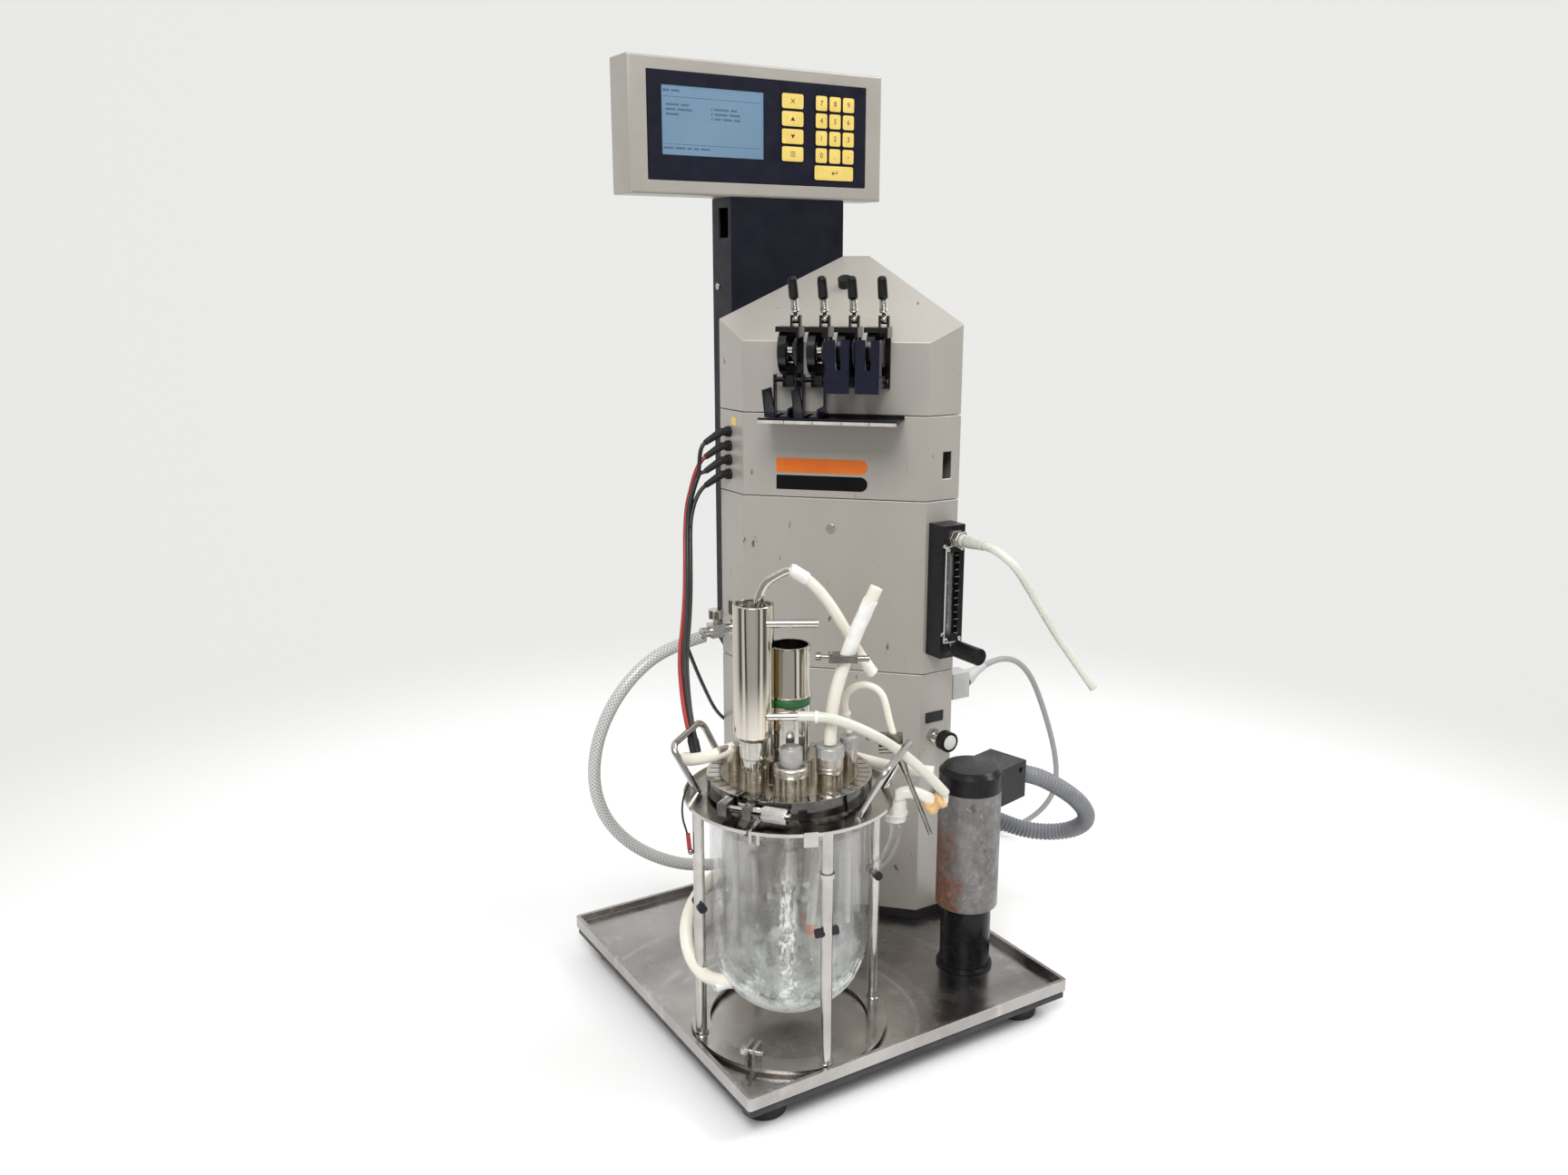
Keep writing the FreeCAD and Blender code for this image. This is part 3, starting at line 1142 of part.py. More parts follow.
def port_parts():
    """Nuts, plugs and dip tubes in the lid's ports."""
    lid_top = S["lid_top"]
    bore = S["port_bore"] - 0.4
    heights = {name: lid_top + high for name, (wide, high) in PORTS.items()}
    tops = {"plug": (18.6, 16.3), "sample": (24.0, 17.4), "thin": (16.0, 15.5), "vent": (13.0, 5.0)}
    dips = {"plug": 20.0, "sample": 20.0, "thin": 150.0, "vent": 172.0}
    fittings = []
    for name, (wide, high) in tops.items():
        x, y = port_at(name)
        z = heights[name] + 0.1
        pieces = [
            knurled(f"{name}_cap", wide, high, (x, y, z)) if name != "plug"
            else cylinder("plug_knob", wide, high, (x, y, z)),
            cylinder(f"{name}_stem", bore, z - lid_top + 6, (x, y, lid_top - 6)),
            cylinder(f"{name}_dip", 6, dips[name], (x, y, lid_top - dips[name])),
        ]
        if name == "sample":
            pieces.append(cylinder("sample_spigot", 7, 18, (x, y, z + high - 1)))
            low = (x - 13.6, y + 9.8, S["probe_low"])
            pieces.append(cylinder("sample_probe", S["probe_wide"], S["probe_long"], low,
                                   ((6, 10.2, 0), S["probe_lean"].number)))
        if name == "thin":
            pieces.append(cylinder("thin_spigot", 4.6, 18, (x, y, z + high - 1)))
        if name == "vent":
            turn = ((0, 1, 0), -90)
            pieces.append(cylinder("vent_spigot", 6, 12, (x - 4, y, z + 2.5), turn))
        fittings.append(fuse(f"{name}_fitting", pieces))
    node(group("fittings", fittings), "port_fittings")


def condenser_parts():
    """The condenser on its port nut, with two side nipples and a bent outlet on top."""
    x, y = port_at("condenser")
    low, high, wide = S["condenser_low"], S["condenser_high"], S["condenser_wide"]
    boss = S["lid_top"] + PORTS["condenser"][1]
    body = cylinder("condenser_body", wide, high, (x, y, low))
    recess = cylinder("condenser_recess", wide - 5, 5, (x, y, low + high - 4))
    top = low + high
    route = [(VX - 33, VY, top - 6), (VX - 30, VY - 2, top + 8), (VX - 26, VY - 6, top + 19),
             (VX - 16, VY - 12, top + 26), (VX - 10, VY - 16, top + 29)]
    elbow, _ = rounded_path(route, lambda shorter, turn: 0.45 * shorter / math.tan(turn / 2))
    nipple_turn = ((0.5, 0.86, 0), 90)
    pieces = [
        cut("condenser_hollowed", body, recess),
        cylinder("condenser_stem", S["condenser_stem"], low - boss, (x, y, boss + 0.1)),
        cylinder("condenser_spigot", S["port_bore"] - 0.4, 34, (x, y, boss - 30)),
        knurled("condenser_nut", 25, 15, (x, y, boss + 11)),
        cylinder("condenser_collar", 20, 6, (x, y, boss + 3)),
        formed("elbow", swept(elbow, 7.6)),
        cylinder("nipple_up", 7, 43, (x + 3.4, y - 15.6, top - 14.2), nipple_turn),
        cylinder("nipple_low", 7, 43, (x + 3.4, y - 15.6, low + 19.6), nipple_turn),
    ]
    node(group("condenser_node", [fuse("condenser_whole", pieces)]), "condenser")


def drive_parts():
    """The stirrer's bearing housing and the shaft with its impellers."""
    wide, wall, base = S["drive_wide"], S["drive_wall"], S["lid_top"] + S["drive_base"] - 1
    low = base + 0.1
    high = S["drive_high"] - S["drive_base"]
    shell = cylinder("drive_shell", wide, high, (VX, VY, low))
    bead = cylinder("drive_bead", wide + 1, 2.5, (VX, VY, low + high - 2.5))
    band = cylinder("drive_ring", wide + 0.5, S["drive_floor"] + 7, (VX, VY, low))
    inside = cylinder("drive_inside", wide - wall * 2, high, (VX, VY, low + S["drive_floor"]))
    bore = cylinder("drive_bore", S["shaft_wide"] + 0.1, high * 2, (VX, VY, low - 10))
    housing = cut("drive_open", cut("drive_hollow", fuse("drive_solid", [shell, bead, band]), inside), bore)
    node(group("drive", [housing]), "drive_housing")

    low, blade = S["shaft_low"], S["blade_high"]
    pieces = [cylinder("shaft", S["shaft_wide"], base + S["drive_floor"] + 22 - low, (VX, VY, low)),
              cylinder("shaft_sleeve", 14, 110, (VX, VY, S["impeller_z"])),
              cylinder("shaft_socket", 22, 18, (VX, VY, base + S["drive_floor"] + 4))]
    for i, z in enumerate((S["impeller_z"], S["impeller_z"] + 62)):
        pieces.append(cylinder(f"hub{i}", 16, blade + 4, (VX, VY, z - 2)))
        pieces.append(cylinder(f"impeller_disc{i}", S["impeller_wide"] * 0.72, 1.5, (VX, VY, z + blade / 2)))
        for j in range(6):
            x, y = about(VX, VY, S["impeller_wide"] * 0.25, 60 * j)
            angle = math.radians(60 * j)
            at = (x + 0.75 * math.sin(angle), y - 0.75 * math.cos(angle), z)
            pieces.append(box(f"blade{i}{j}", S["impeller_wide"] * 0.25, 1.5, blade, at, ((0, 0, 1), 60 * j)))
    node(group("stirrer_node", [fuse("stirrer_whole", pieces)]), "stirrer")


# ------------------------------------------------------------------ stirrer motor
def motor_parts():
    """The motor in its parking socket: socket, can, cap with the terminal box, coupling."""
    x, y = S["motor_x"], S["motor_y"]
    socket_top = FLOOR + S["socket_high"]
    wall = S["socket_wall"]
    outer = cylinder("socket_outer", S["socket_wide"], S["socket_high"], (x, y, FLOOR))
    inner = cylinder("socket_inner", S["socket_wide"] - wall * 2, S["socket_high"], (x, y, FLOOR + wall))
    foot = cylinder("socket_foot", S["socket_wide"] + 6, 3, (x, y, FLOOR))
    node(cut("socket", fuse("socket_solid", [outer, foot]), inner), "motor_socket")

    can_top = socket_top + S["can_high"]
    can = cylinder("can", S["can_wide"], S["can_high"], (x, y, socket_top))
    nose = cylinder("nose", S["socket_wide"] - wall * 2 - 1, 24, (x, y, socket_top - 20))
    shaft = cylinder("motor_shaft", 6, 36, (x, y, socket_top - 50))
    node(group("can_node", [fuse("can_whole", [can, nose, shaft])]), "motor_can")

    low = cylinder("cap_low", S["can_wide"] + 0.6, S["cap_high"] - 5, (x, y, can_top))
    top = cone("cap_top", S["can_wide"] + 0.6, S["can_wide"] - 9, 5, (x, y, can_top + S["cap_high"] - 5))
    angle = S["box_turn"].number
    turn = math.radians(angle)
    reach, wide = S["box_out"] - 12, S["box_wide"]
    box_top = can_top + S["box_rise"]
    start = (x + 12 * math.cos(turn) + wide / 2 * math.sin(turn),
             y + 12 * math.sin(turn) - wide / 2 * math.cos(turn), box_top - S["box_high"])
    terminal = box("terminal", reach, wide, S["box_high"], start, ((0, 0, 1), angle))
    room = cylinder("cap_room", S["can_wide"] + 0.2, S["can_high"], (x, y, socket_top))
    head = cylinder("terminal_screw", 5, 1.5,
                    (start[0] + (reach - 7) * math.cos(turn), start[1] + (reach - 7) * math.sin(turn),
                     box_top - 9), ((math.cos(turn), math.sin(turn), 0), 90))
    cap = cut("cap", fuse("cap_solid", [low, top, terminal, head]), room)
    node(group("cap_node", [cap]), "motor_cap")

    jaw = cylinder("coupling_body", S["coupling_wide"], S["coupling_high"], (x, y, socket_top - 48))
    hole = cylinder("coupling_hole", 6.1, 60, (x, y, socket_top - 60))
    node(cut("coupling", jaw, hole), "motor_coupling")


# ------------------------------------------------------------------ small fittings
def clamp_parts():
    """The clamps on two hoses and the sampling needle."""
    sample, thin = DOC.getObject("sample_hose_run"), DOC.getObject("thin_hose_run")
    bar = fuse("screw_clamp_whole", [
        box("screw_clamp", 24, 15, 6, (109, 51, 384), ((0, 0, 1), -32)),
        cylinder("screw_clamp_screw", 5, 14, (128, 44, 387), ((0.5, 0.86, 0), 90)),
    ])
    wing = fuse("wing_clamp_whole", [
        box("wing", 24, 8, 8, (155, 47, 305), ((0, 0, 1), -32)),
        cylinder("wing_knob", 8, 14, (161, 50, 298), ((0.5, 0.86, 0), 90)),
        box("wing_stem", 4, 4, 14, (164, 45, 295)),
    ])
    pieces = [cut("screw_clamp_cut", bar, sample), cut("wing_clamp_cut", wing, thin)]
    needle = [(174.8, 36.6, 292), (178.5, 34.1, 280), (199.6, 22.8, 219.5)]
    path, _ = rounded_path(needle, lambda shorter, turn: 0.45 * shorter / math.tan(turn / 2))
    hub = cone("needle_hub", 5, 8, 14, (179.6, 33.6, 277), ((0.62, 0.78, 0), -20))
    pieces.append(cut("needle_cut", fuse("sample_needle", [formed("needle_tube", swept(path, 4.0)), hub]), thin))
    node(group("clamps", pieces), "hose_clamps")


def connector_parts():
    """The screw cap and bent connector on the vessel's side arm."""
    screw_cap = cut("arm_cap", prism("arm_cap_solid", 17, 15, (177, 45, 232), sides=12),
                    cylinder("arm_cap_bore", 12.4, 9.2, (177, 45, 231)))
    elbow_pipe = [(177, 45, 244), (178, 44, 253), (188, 37, 257), (199, 29, 252), (207, 23, 245),
                  (211, 19, 248), (210.5, 18.5, 256)]
    path, _ = rounded_path(elbow_pipe, lambda shorter, turn: 0.45 * shorter / math.tan(turn / 2))
    node(group("connectors", [fuse("connector", [screw_cap, formed("connector_pipe", swept(path, 7))])]),
         "vessel_connectors")


# ------------------------------------------------------------------ tubes and cables
ROUTES = {
    "condenser_hose": ("soft_hose", [
        (87.5, 77.8, 462.5), (99.3, 72.1, 454.3), (109.8, 68.4, 443.4), (119, 66.3, 431.1),
        (127.4, 65, 418.1), (135.3, 64, 404.8), (143, 62.9, 391.3), (150.9, 61, 378.1),
        (159.2, 57.8, 365.4),
    ]),
    "cooling_hose": ("clear_hose", [
        (87, 65.3, 337), (101.8, 56.6, 337), (115, 48, 334.3), (128, 41.5, 328.6),
        (142, 36.2, 320.6), (156.5, 30.8, 310.8), (170.7, 26.2, 298.9), (184.8, 22.3, 285.5),
        (198.5, 19.8, 271.3), (211.2, 18.5, 256.8),
    ]),
    "sample_hose": ("sample_hose", [
        (115.4, 57.7, 309), (116, 58.6, 326), (118.4, 57.8, 348), (124.3, 52.4, 379),
        (132.5, 46.3, 408), (140.5, 42.3, 429), (148, 39, 447),
    ]),
    "thin_hose": ("thin_hose", [
        (145.5, 72.7, 309), (144.3, 73.6, 321.5), (141.9, 76.4, 336), (144.5, 74, 346.9),
        (151.3, 67.7, 353.7), (159.7, 59.9, 353.7), (166.5, 53.6, 346.9), (169.1, 51.2, 336),
        (170.6, 48.2, 322.7), (172, 43.5, 311), (173.9, 39.2, 299.6), (175.3, 36.2, 289.5),
    ]),
    "braided_hose": ("braid_hose", [
        (144.1, 339.1, 332), (101.7, 340, 326.2), (64.3, 339.6, 305.3), (35.9, 339.8, 273.2),
        (19.4, 341.6, 233.7), (16.4, 344, 191), (29.2, 345.7, 150.2), (55.5, 345.7, 116.4),
        (90.1, 343.9, 90.9), (129.5, 340.6, 74.2), (171.8, 337.6, 68),
    ]),
    "jacket_hose": ("jacket_hose", [
        (39.7, 98, 86), (21.1, 101.4, 91), (9.3, 109.8, 104.2), (6.9, 121.2, 120.2),
        (12.9, 133.9, 134.2), (25.2, 146.3, 143.4), (40.5, 158.1, 148.3), (56.8, 169.4, 149.4),
        (72.7, 181.1, 146.7),
    ]),
    "vent_hose": ("vent_hose", [
        (58, 122, 297), (42, 126.3, 291.7), (30.3, 138, 286.3), (26, 154, 281), (30.3, 170, 275.7),
        (42, 181.7, 270.3), (58, 186, 265), (76, 186.5, 264.5), (96, 186, 264.2),
        (118, 182.5, 264.2), (138, 174, 264.2), (156, 160, 264.2), (170, 142, 264.2),
        (180, 121, 264.3), (187, 99, 264.8), (195, 77, 265.4), (206, 58, 265.8), (219, 45, 266),
    ]),
    "meter_hose": ("meter_hose", [
        (326.3, 117, 449), (326.8, 107, 449), (329.6, 94.8, 445.4), (334.2, 84.8, 438.5),
        (340.1, 78.1, 429.1), (362.4, 74.6, 396), (384.7, 71.1, 363), (395.9, 64.2, 344.8),
        (407.2, 57.3, 326.4), (417.8, 50.8, 308.9),
    ]),
    "motor_conduit": ("conduit_wide", [
        (356, 100.6, 219), (383, 94, 213), (411, 86, 197), (438, 80, 176), (457, 84, 152),
        (460, 102, 132), (446, 124, 122), (422, 142, 124), (396, 156, 136), (370, 167, 152),
        (349, 176, 166), (331, 184, 172),
    ]),
    "mains_cord": ("mains_cord", [
        (396, 210, 282), (412, 211, 288), (436, 217, 291), (466, 228, 286), (496, 240, 272),
        (524, 251, 248), (549, 261, 214), (571, 268, 175), (590, 275, 137), (604, 283, 101),
        (611, 294, 68), (605, 311, 38), (588, 334, 14), (562, 360, 4.4), (530, 388, 4.2),
        (494, 413, 4.2), (455, 434, 4.2), (413, 450, 4.2), (370, 462, 4.2), (326, 468, 4.2),
    ]),
    "probe_cables": ("cable_bundle", [
        (138, 340, 508), (130, 339, 484), (124, 334, 452), (113, 320, 418), (98, 299, 391),
        (81, 273, 369), (65, 244, 348), (53, 215, 326), (44, 188, 304), (37, 166, 284),
    ]),
}


def cord_parts():
    """Every hose and cable laid along its route."""
    DOC.recompute()
    fixed = [obj.Shape for obj in NODES]
    for name, (wide, points) in ROUTES.items():
        node(group(f"{name}_laid", [tube(f"{name}_run", points, S[wide], fixed)]), name)


def mains_parts():
    """The cord's socket connector in the tower's side and its three-pin plug on the bench."""
    y, z = S["mains_y"], S["mains_z"]
    connector = [
        box("connector_nose", 22, 17, 24, (RIGHT, y - 8.5, z - 12)),
        box("connector_body", 22, 21, 28, (RIGHT + 18, y - 10.5, z - 14)),
        cone("connector_boot", 11, 8, 14, (RIGHT + 36, y, z + 3), ((0.15, 1, 0), 72)),
    ]
    x, plug_y, plug_z = 272, 478, 5
    plug = [
        box("plug_body", 50, 40, 22, (x, plug_y - 20, 0)),
        cone("plug_boot", 9, 12, 16, (x + 62, plug_y - 8, plug_z), ((0, 1, 0.4), -90)),
    ]
    for i, (shift, lift, tall) in enumerate(((-11, 11, 4), (11, 11, 4), (0, 11, 8))):
        pin = box(f"plug_pin{i}", 16, 6.3 if tall == 4 else 4, tall, (x - 16, plug_y + shift - 3, lift - 2))
        plug.append(pin)
    node(group("mains", [fuse("connector_whole", connector), fuse("plug_whole", plug)]), "mains_plugs")


def check_and_write():
    """Stops on any broken object, then writes one file for each node."""
    DOC.recompute()
    for obj in DOC.Objects:
        if "Invalid" in obj.State or "Error" in obj.State:
            raise RuntimeError(f"{obj.Name} did not build: {obj.State}")
    os.makedirs("parts", exist_ok=True)
    for obj in NODES:
        shape = obj.Shape
        if shape.isNull() or not shape.isValid() or not shape.Solids:
            raise RuntimeError(f"{obj.Label} has no valid solid")
        shape.exportStep(f"parts/{obj.Label}.step")
        print(f"{obj.Label}: {len(shape.Solids)} solids, {shape.Volume / 1000:.1f} cm3")
    print(f"{len(NODES)} nodes")


tray_parts()
tower_parts()
column_parts()
panel_parts()
cover_screws()
pump_parts()
meter_parts()
valve_parts()
cable_plug_parts()
stand_parts()
lid_parts(vessel_parts())
port_parts()
condenser_parts()
drive_parts()
motor_parts()
mains_parts()
connector_parts()
cord_parts()
clamp_parts()
check_and_write()
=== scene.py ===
import json
import math

import bmesh
import bpy
import numpy as np
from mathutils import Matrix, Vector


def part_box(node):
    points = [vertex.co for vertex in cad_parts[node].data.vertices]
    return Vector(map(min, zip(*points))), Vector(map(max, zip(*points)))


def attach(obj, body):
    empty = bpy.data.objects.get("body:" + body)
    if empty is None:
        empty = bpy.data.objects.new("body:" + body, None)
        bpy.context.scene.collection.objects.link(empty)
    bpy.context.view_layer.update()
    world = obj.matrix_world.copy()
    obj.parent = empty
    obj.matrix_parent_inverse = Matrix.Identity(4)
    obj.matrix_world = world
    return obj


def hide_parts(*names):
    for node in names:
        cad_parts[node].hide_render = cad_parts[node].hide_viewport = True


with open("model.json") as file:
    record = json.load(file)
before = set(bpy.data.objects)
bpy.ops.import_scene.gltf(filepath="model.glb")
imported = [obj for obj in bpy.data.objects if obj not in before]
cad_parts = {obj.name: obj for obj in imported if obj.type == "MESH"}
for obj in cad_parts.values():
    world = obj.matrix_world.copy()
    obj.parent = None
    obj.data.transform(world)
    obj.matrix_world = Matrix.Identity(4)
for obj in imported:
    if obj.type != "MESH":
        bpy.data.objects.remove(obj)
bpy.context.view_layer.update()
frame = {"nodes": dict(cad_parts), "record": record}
scene = bpy.context.scene


# --- Drip tray -------------------------------------------------------------
# A shallow pan of folded stainless sheet on a painted base plate, which stands
# on four rubber feet. The pan lies loose in the base plate's upturned edge.
MIDDLE = np.array((187.5, 200.0, 0.0))


def metres(points):
    """Points in the row's frame, from millimetres counted from the tray's front left corner."""
    return (np.asarray(points, float) - MIDDLE) / 1000


def at(x, y, z):
    """One such point."""
    return metres((x, y, z))


def feed(tree, socket, value):
    """Sets a socket to a constant, or links it to another node's output."""
    if isinstance(value, bpy.types.NodeSocket):
        tree.links.new(value, socket)
    else:
        socket.default_value = value


def feed_all(tree, sockets, values):
    """Feeds sockets by their names or numbers."""
    for socket, value in values.items():
        feed(tree, sockets[socket], value)


def grown(tree, kind, inputs, output=0, **settings):
    """A new node with its settings made and its inputs fed; gives one of its outputs."""
    node = tree.nodes.new(f"ShaderNode{kind}")
    for name, value in settings.items():
        setattr(node, name, value)
    feed_all(tree, node.inputs, inputs)
    return node.outputs[output]


def reckoned(tree, operation, *values):
    """A sum, a product or another operation on numbers."""
    return grown(tree, "Math", dict(enumerate(values)), operation=operation)


def vector(tree, operation, *values):
    """An operation on vectors; a length or a dot product is a number."""
    output = "Value" if operation in ("LENGTH", "DOT_PRODUCT") else "Vector"
    return grown(tree, "VectorMath", dict(enumerate(values)), output, operation=operation)


def spanned(tree, value, start, end, low, high, **settings):
    """A number that runs from low to high while the value goes from start to end."""
    return grown(tree, "MapRange", {"Value": value, "From Min": start, "From Max": end,
                                    "To Min": low, "To Max": high}, **settings)


def clouds(tree, place, size, detail=2.0, rough=0.5):
    """Noise with size clouds in a metre."""
    return grown(tree, "TexNoise", {"Vector": place, "Scale": size, "Detail": detail, "Roughness": rough})


def mixed(tree, factor, first, second):
    """Two colours mixed; 6, 7 and 2 are the numbers of the node's colour sockets."""
    return grown(tree, "Mix", {0: factor, 6: first, 7: second}, 2, data_type="RGBA")


def ramped(tree, value, stops):
    """A colour that runs through stops, each a position from 0 to 1 and a colour."""
    output = grown(tree, "ValToRGB", {"Fac": value})
    elements = output.node.color_ramp.elements
    for end in (0, -1):
        elements[end].position = stops[end][0]
        elements[end].color = (*stops[end][1], 1)
    for position, colour in stops[1:-1]:
        elements.new(position).color = (*colour, 1)
    return output


def own_place(tree, stretch=None):
    """A point in the piece's own coordinates, stretched if wanted."""
    place = grown(tree, "TexCoord", {}, "Object")
    return grown(tree, "Mapping", {"Vector": place, "Scale": stretch}) if stretch else place


def measured_from(tree, centre):
    """A point in the piece's own coordinates, counted from a centre."""
    return vector(tree, "SUBTRACT", own_place(tree), tuple(centre))


def plain(name):
    """A new material, its node tree and its shader's sockets."""
    material = bpy.data.materials.new(name)
    material.use_nodes = True
    tree = material.node_tree
    return material, tree, tree.nodes["Principled BSDF"].inputs


def finish(name, colour, other, rough=(0.3, 0.5), metal=0.0, grain=40.0, stretch=(1, 1, 1),
           relief=0.0, relief_grain=600.0, coat=0.0, spots=(), see_through=0.0, shine=0.5):
    """A worn surface: two colours mixed by cloudy noise, roughness that drifts with a finer
    noise, a fine relief, and if wanted spots of further colours where a coarse noise peaks.
    spots lists (colour, grain, start, end); grain counts the clouds in a metre."""
    material, tree, sockets = plain(name)
    place = own_place(tree, stretch)
    paint = (*colour, 1.0)
    layers = [(other, grain, 0.35, 0.65, 5.0), *((*spot, 8.0) for spot in spots)]
    for tone, size, start, end, detail in layers:
        cover = spanned(tree, clouds(tree, place, size, detail, 0.6), start, end, 0.0, 1.0)
        paint = mixed(tree, cover, paint, (*tone, 1.0))
    values = {
        "Base Color": paint,
        "Roughness": spanned(tree, clouds(tree, place, grain * 2.7, 4.0, 0.6), 0.3, 0.7, *rough),
        "Metallic": metal, "Coat Weight": coat, "Coat Roughness": 0.12,
        "Transmission Weight": see_through, "Specular IOR Level": shine,
    }
    if relief:
        values["Normal"] = grown(tree, "Bump", {"Height": clouds(tree, place, relief_grain, 3.0, 0.6),
                                                "Strength": relief, "Distance": 0.0004})
    feed_all(tree, sockets, values)
    return material


def owner(node):
    """The name of the rigid body that a solid belongs to."""
    bodies = frame["record"]["behaviour"]["bodies"]
    return next(name for name, members in bodies.items() if node in members)


def stands_for(node):
    """Hides a solid that a piece stands in for."""
    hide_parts(node)


def dressed(node, material, edge=0.0005, steps=2, smooth=32):
    """A copy of a solid's skin with its corners joined and its flat faces made whole,
    edges rounded by edge metres, shown in place of the solid."""
    mesh = frame["nodes"][node].data.copy()
    piece = bpy.data.objects.new(f"{node}_skin", mesh)
    scene.collection.objects.link(piece)
    shape = bmesh.new()
    shape.from_mesh(mesh)
    bmesh.ops.remove_doubles(shape, verts=shape.verts, dist=0.000004)
    bmesh.ops.dissolve_limit(shape, angle_limit=math.radians(0.3), verts=shape.verts, edges=shape.edges)
    shape.to_mesh(mesh)
    shape.free()
    mesh.materials.clear()
    mesh.materials.append(material)
    mesh.shade_smooth()
    mesh.set_sharp_from_angle(angle=math.radians(smooth))
    if edge:
        bevel = piece.modifiers.new("rounded_edges", "BEVEL")
        bevel.width = edge
        bevel.segments = steps
        bevel.limit_method = "ANGLE"
        bevel.angle_limit = math.radians(smooth)
        bevel.harden_normals = True
        bevel.use_clamp_overlap = True
    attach(piece, owner(node))
    stands_for(node)
    return piece


tray_steel = finish("stained_tray_steel", (0.50, 0.48, 0.46), (0.36, 0.34, 0.33), (0.16, 0.34), 1.0, 9.0,
                    relief=0.04, relief_grain=60.0,
                    spots=[((0.58, 0.57, 0.55), 30.0, 0.58, 0.80), ((0.24, 0.22, 0.21), 90.0, 0.70, 0.80)])


def scuff_rings(material, centre, rings, widest=0.3):
    """Pale rubbed rings in a finish: at each radius a band of the given width and strength,
    broken by noise, is mixed over the colour. All radii are under widest, in metres."""
    tree = material.node_tree
    colour = tree.nodes["Principled BSDF"].inputs["Base Color"]
    away = vector(tree, "LENGTH", vector(tree, "MULTIPLY", measured_from(tree, centre), (1, 1, 0)))
    steps = [(radius + shift, value) for radius, wide, strength in rings
             for shift, value in ((-wide, 0.0), (0.0, strength), (wide, 0.0))]
    stops = [(radius / widest, (value,) * 3) for radius, value in ((0.0, 0.0), *steps, (widest, 0.0))]
    profile = ramped(tree, reckoned(tree, "DIVIDE", away, widest), stops)
    broken = spanned(tree, clouds(tree, own_place(tree), 26.0, 7.0), 0.42, 0.62, 0.0, 1.0)
    amount = reckoned(tree, "MULTIPLY", profile, broken)
    feed(tree, colour, mixed(tree, amount, colour.links[0].from_socket, (0.74, 0.73, 0.72, 1)))


shaft_axis = at(97, 94, 0)
scuff_rings(tray_steel, shaft_axis, [(0.118, 0.003, 0.55), (0.134, 0.006, 0.4), (0.196, 0.004, 0.35)])
dressed("drip_tray", tray_steel, 0.0006)
dressed("base_plate", finish("base_plate_paint", (0.030, 0.030, 0.033), (0.055, 0.055, 0.057), (0.35, 0.6),
                             0.2, 30.0, relief=0.2, shine=0.35), 0.0006)
dressed("rubber_feet", finish("foot_rubber", (0.012, 0.012, 0.012), (0.03, 0.03, 0.03), (0.6, 0.8),
                              0.0, 60.0, relief=0.25, shine=0.3), 0.0012, 3)


# --- Control tower ---------------------------------------------------------
# Folded sheet covers stacked on a frame, sprayed in a warm silver grey that has
# run and been wiped, with a dark rubber seal at the bottom of each seam.
tower_paint = finish("silver_grey_paint", (0.455, 0.430, 0.392), (0.415, 0.392, 0.356), (0.32, 0.44), 0.25,
                     7.0, (1, 1, 0.35), 0.10, 1500.0, coat=0.12,
                     spots=[((0.33, 0.305, 0.275), 26.0, 0.66, 0.80),
                            ((0.14, 0.105, 0.08), 110.0, 0.670, 0.70)])
for cover in ("lower_cover", "middle_cover", "band_cover", "top_cover"):
    dressed(cover, tower_paint, 0.0011, 3, 20)
seal_rubber = finish("black_seal", (0.010, 0.010, 0.012), (0.018, 0.018, 0.020), (0.45, 0.7), relief=0.2,
                     shine=0.3)
dressed("tower_seal", seal_rubber, 0.0006)
inner_metal = finish("plain_aluminium", (0.52, 0.52, 0.52), (0.45, 0.45, 0.45), (0.35, 0.5), 0.9, 25.0)
dressed("tower_frame", inner_metal, 0.0003)
dressed("circulation_unit", inner_metal, 0.0005)


# --- Rear column -----------------------------------------------------------
# The painted column behind the tower carries the display and hides its cables.
column_paint = finish("navy_column_paint", (0.0024, 0.0028, 0.0085), (0.0040, 0.0046, 0.013), (0.34, 0.50), 0.0,
                      18.0, relief=0.10, relief_grain=1200.0, shine=0.30)
dressed("rear_column", column_paint, 0.0010, 3)
screw_steel = finish("nickelled_steel", (0.62, 0.60, 0.57), (0.48, 0.46, 0.43), (0.18, 0.34), 1.0, 300.0)
dressed("cover_screws", screw_steel, 0.0004)


# --- Display housing -------------------------------------------------------
# A cast grey housing with soft edges around a sunk membrane panel; the keys are
# embossed pads with numerals or plain signs, and a clear window covers the
# liquid crystal screen, whose rows of dashes stand for its text.
housing_paint = finish("grey_housing_paint", (0.430, 0.408, 0.365), (0.395, 0.373, 0.334), (0.34, 0.46), 0.2,
                       14.0, relief=0.12, relief_grain=1600.0, coat=0.12)
dressed("display_housing", housing_paint, 0.0022, 4)
panel_film = finish("navy_membrane", (0.0045, 0.0050, 0.014), (0.0065, 0.0072, 0.019), (0.30, 0.42), 0.0, 30.0,
                    relief=0.08, relief_grain=1800.0, shine=0.35)
dressed("front_panel", panel_film, 0.0003)
dressed("lcd_window", finish("lcd_glass", (0.19, 0.30, 0.42), (0.15, 0.25, 0.36), (0.08, 0.14), 0.0, 6.0,
                             coat=0.6), 0.0003)


def placed(name, mesh, body="bioreactor"):
    """An object with a mesh, riding on a body."""
    piece = bpy.data.objects.new(name, mesh)
    scene.collection.objects.link(piece)
    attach(piece, body)
    return piece


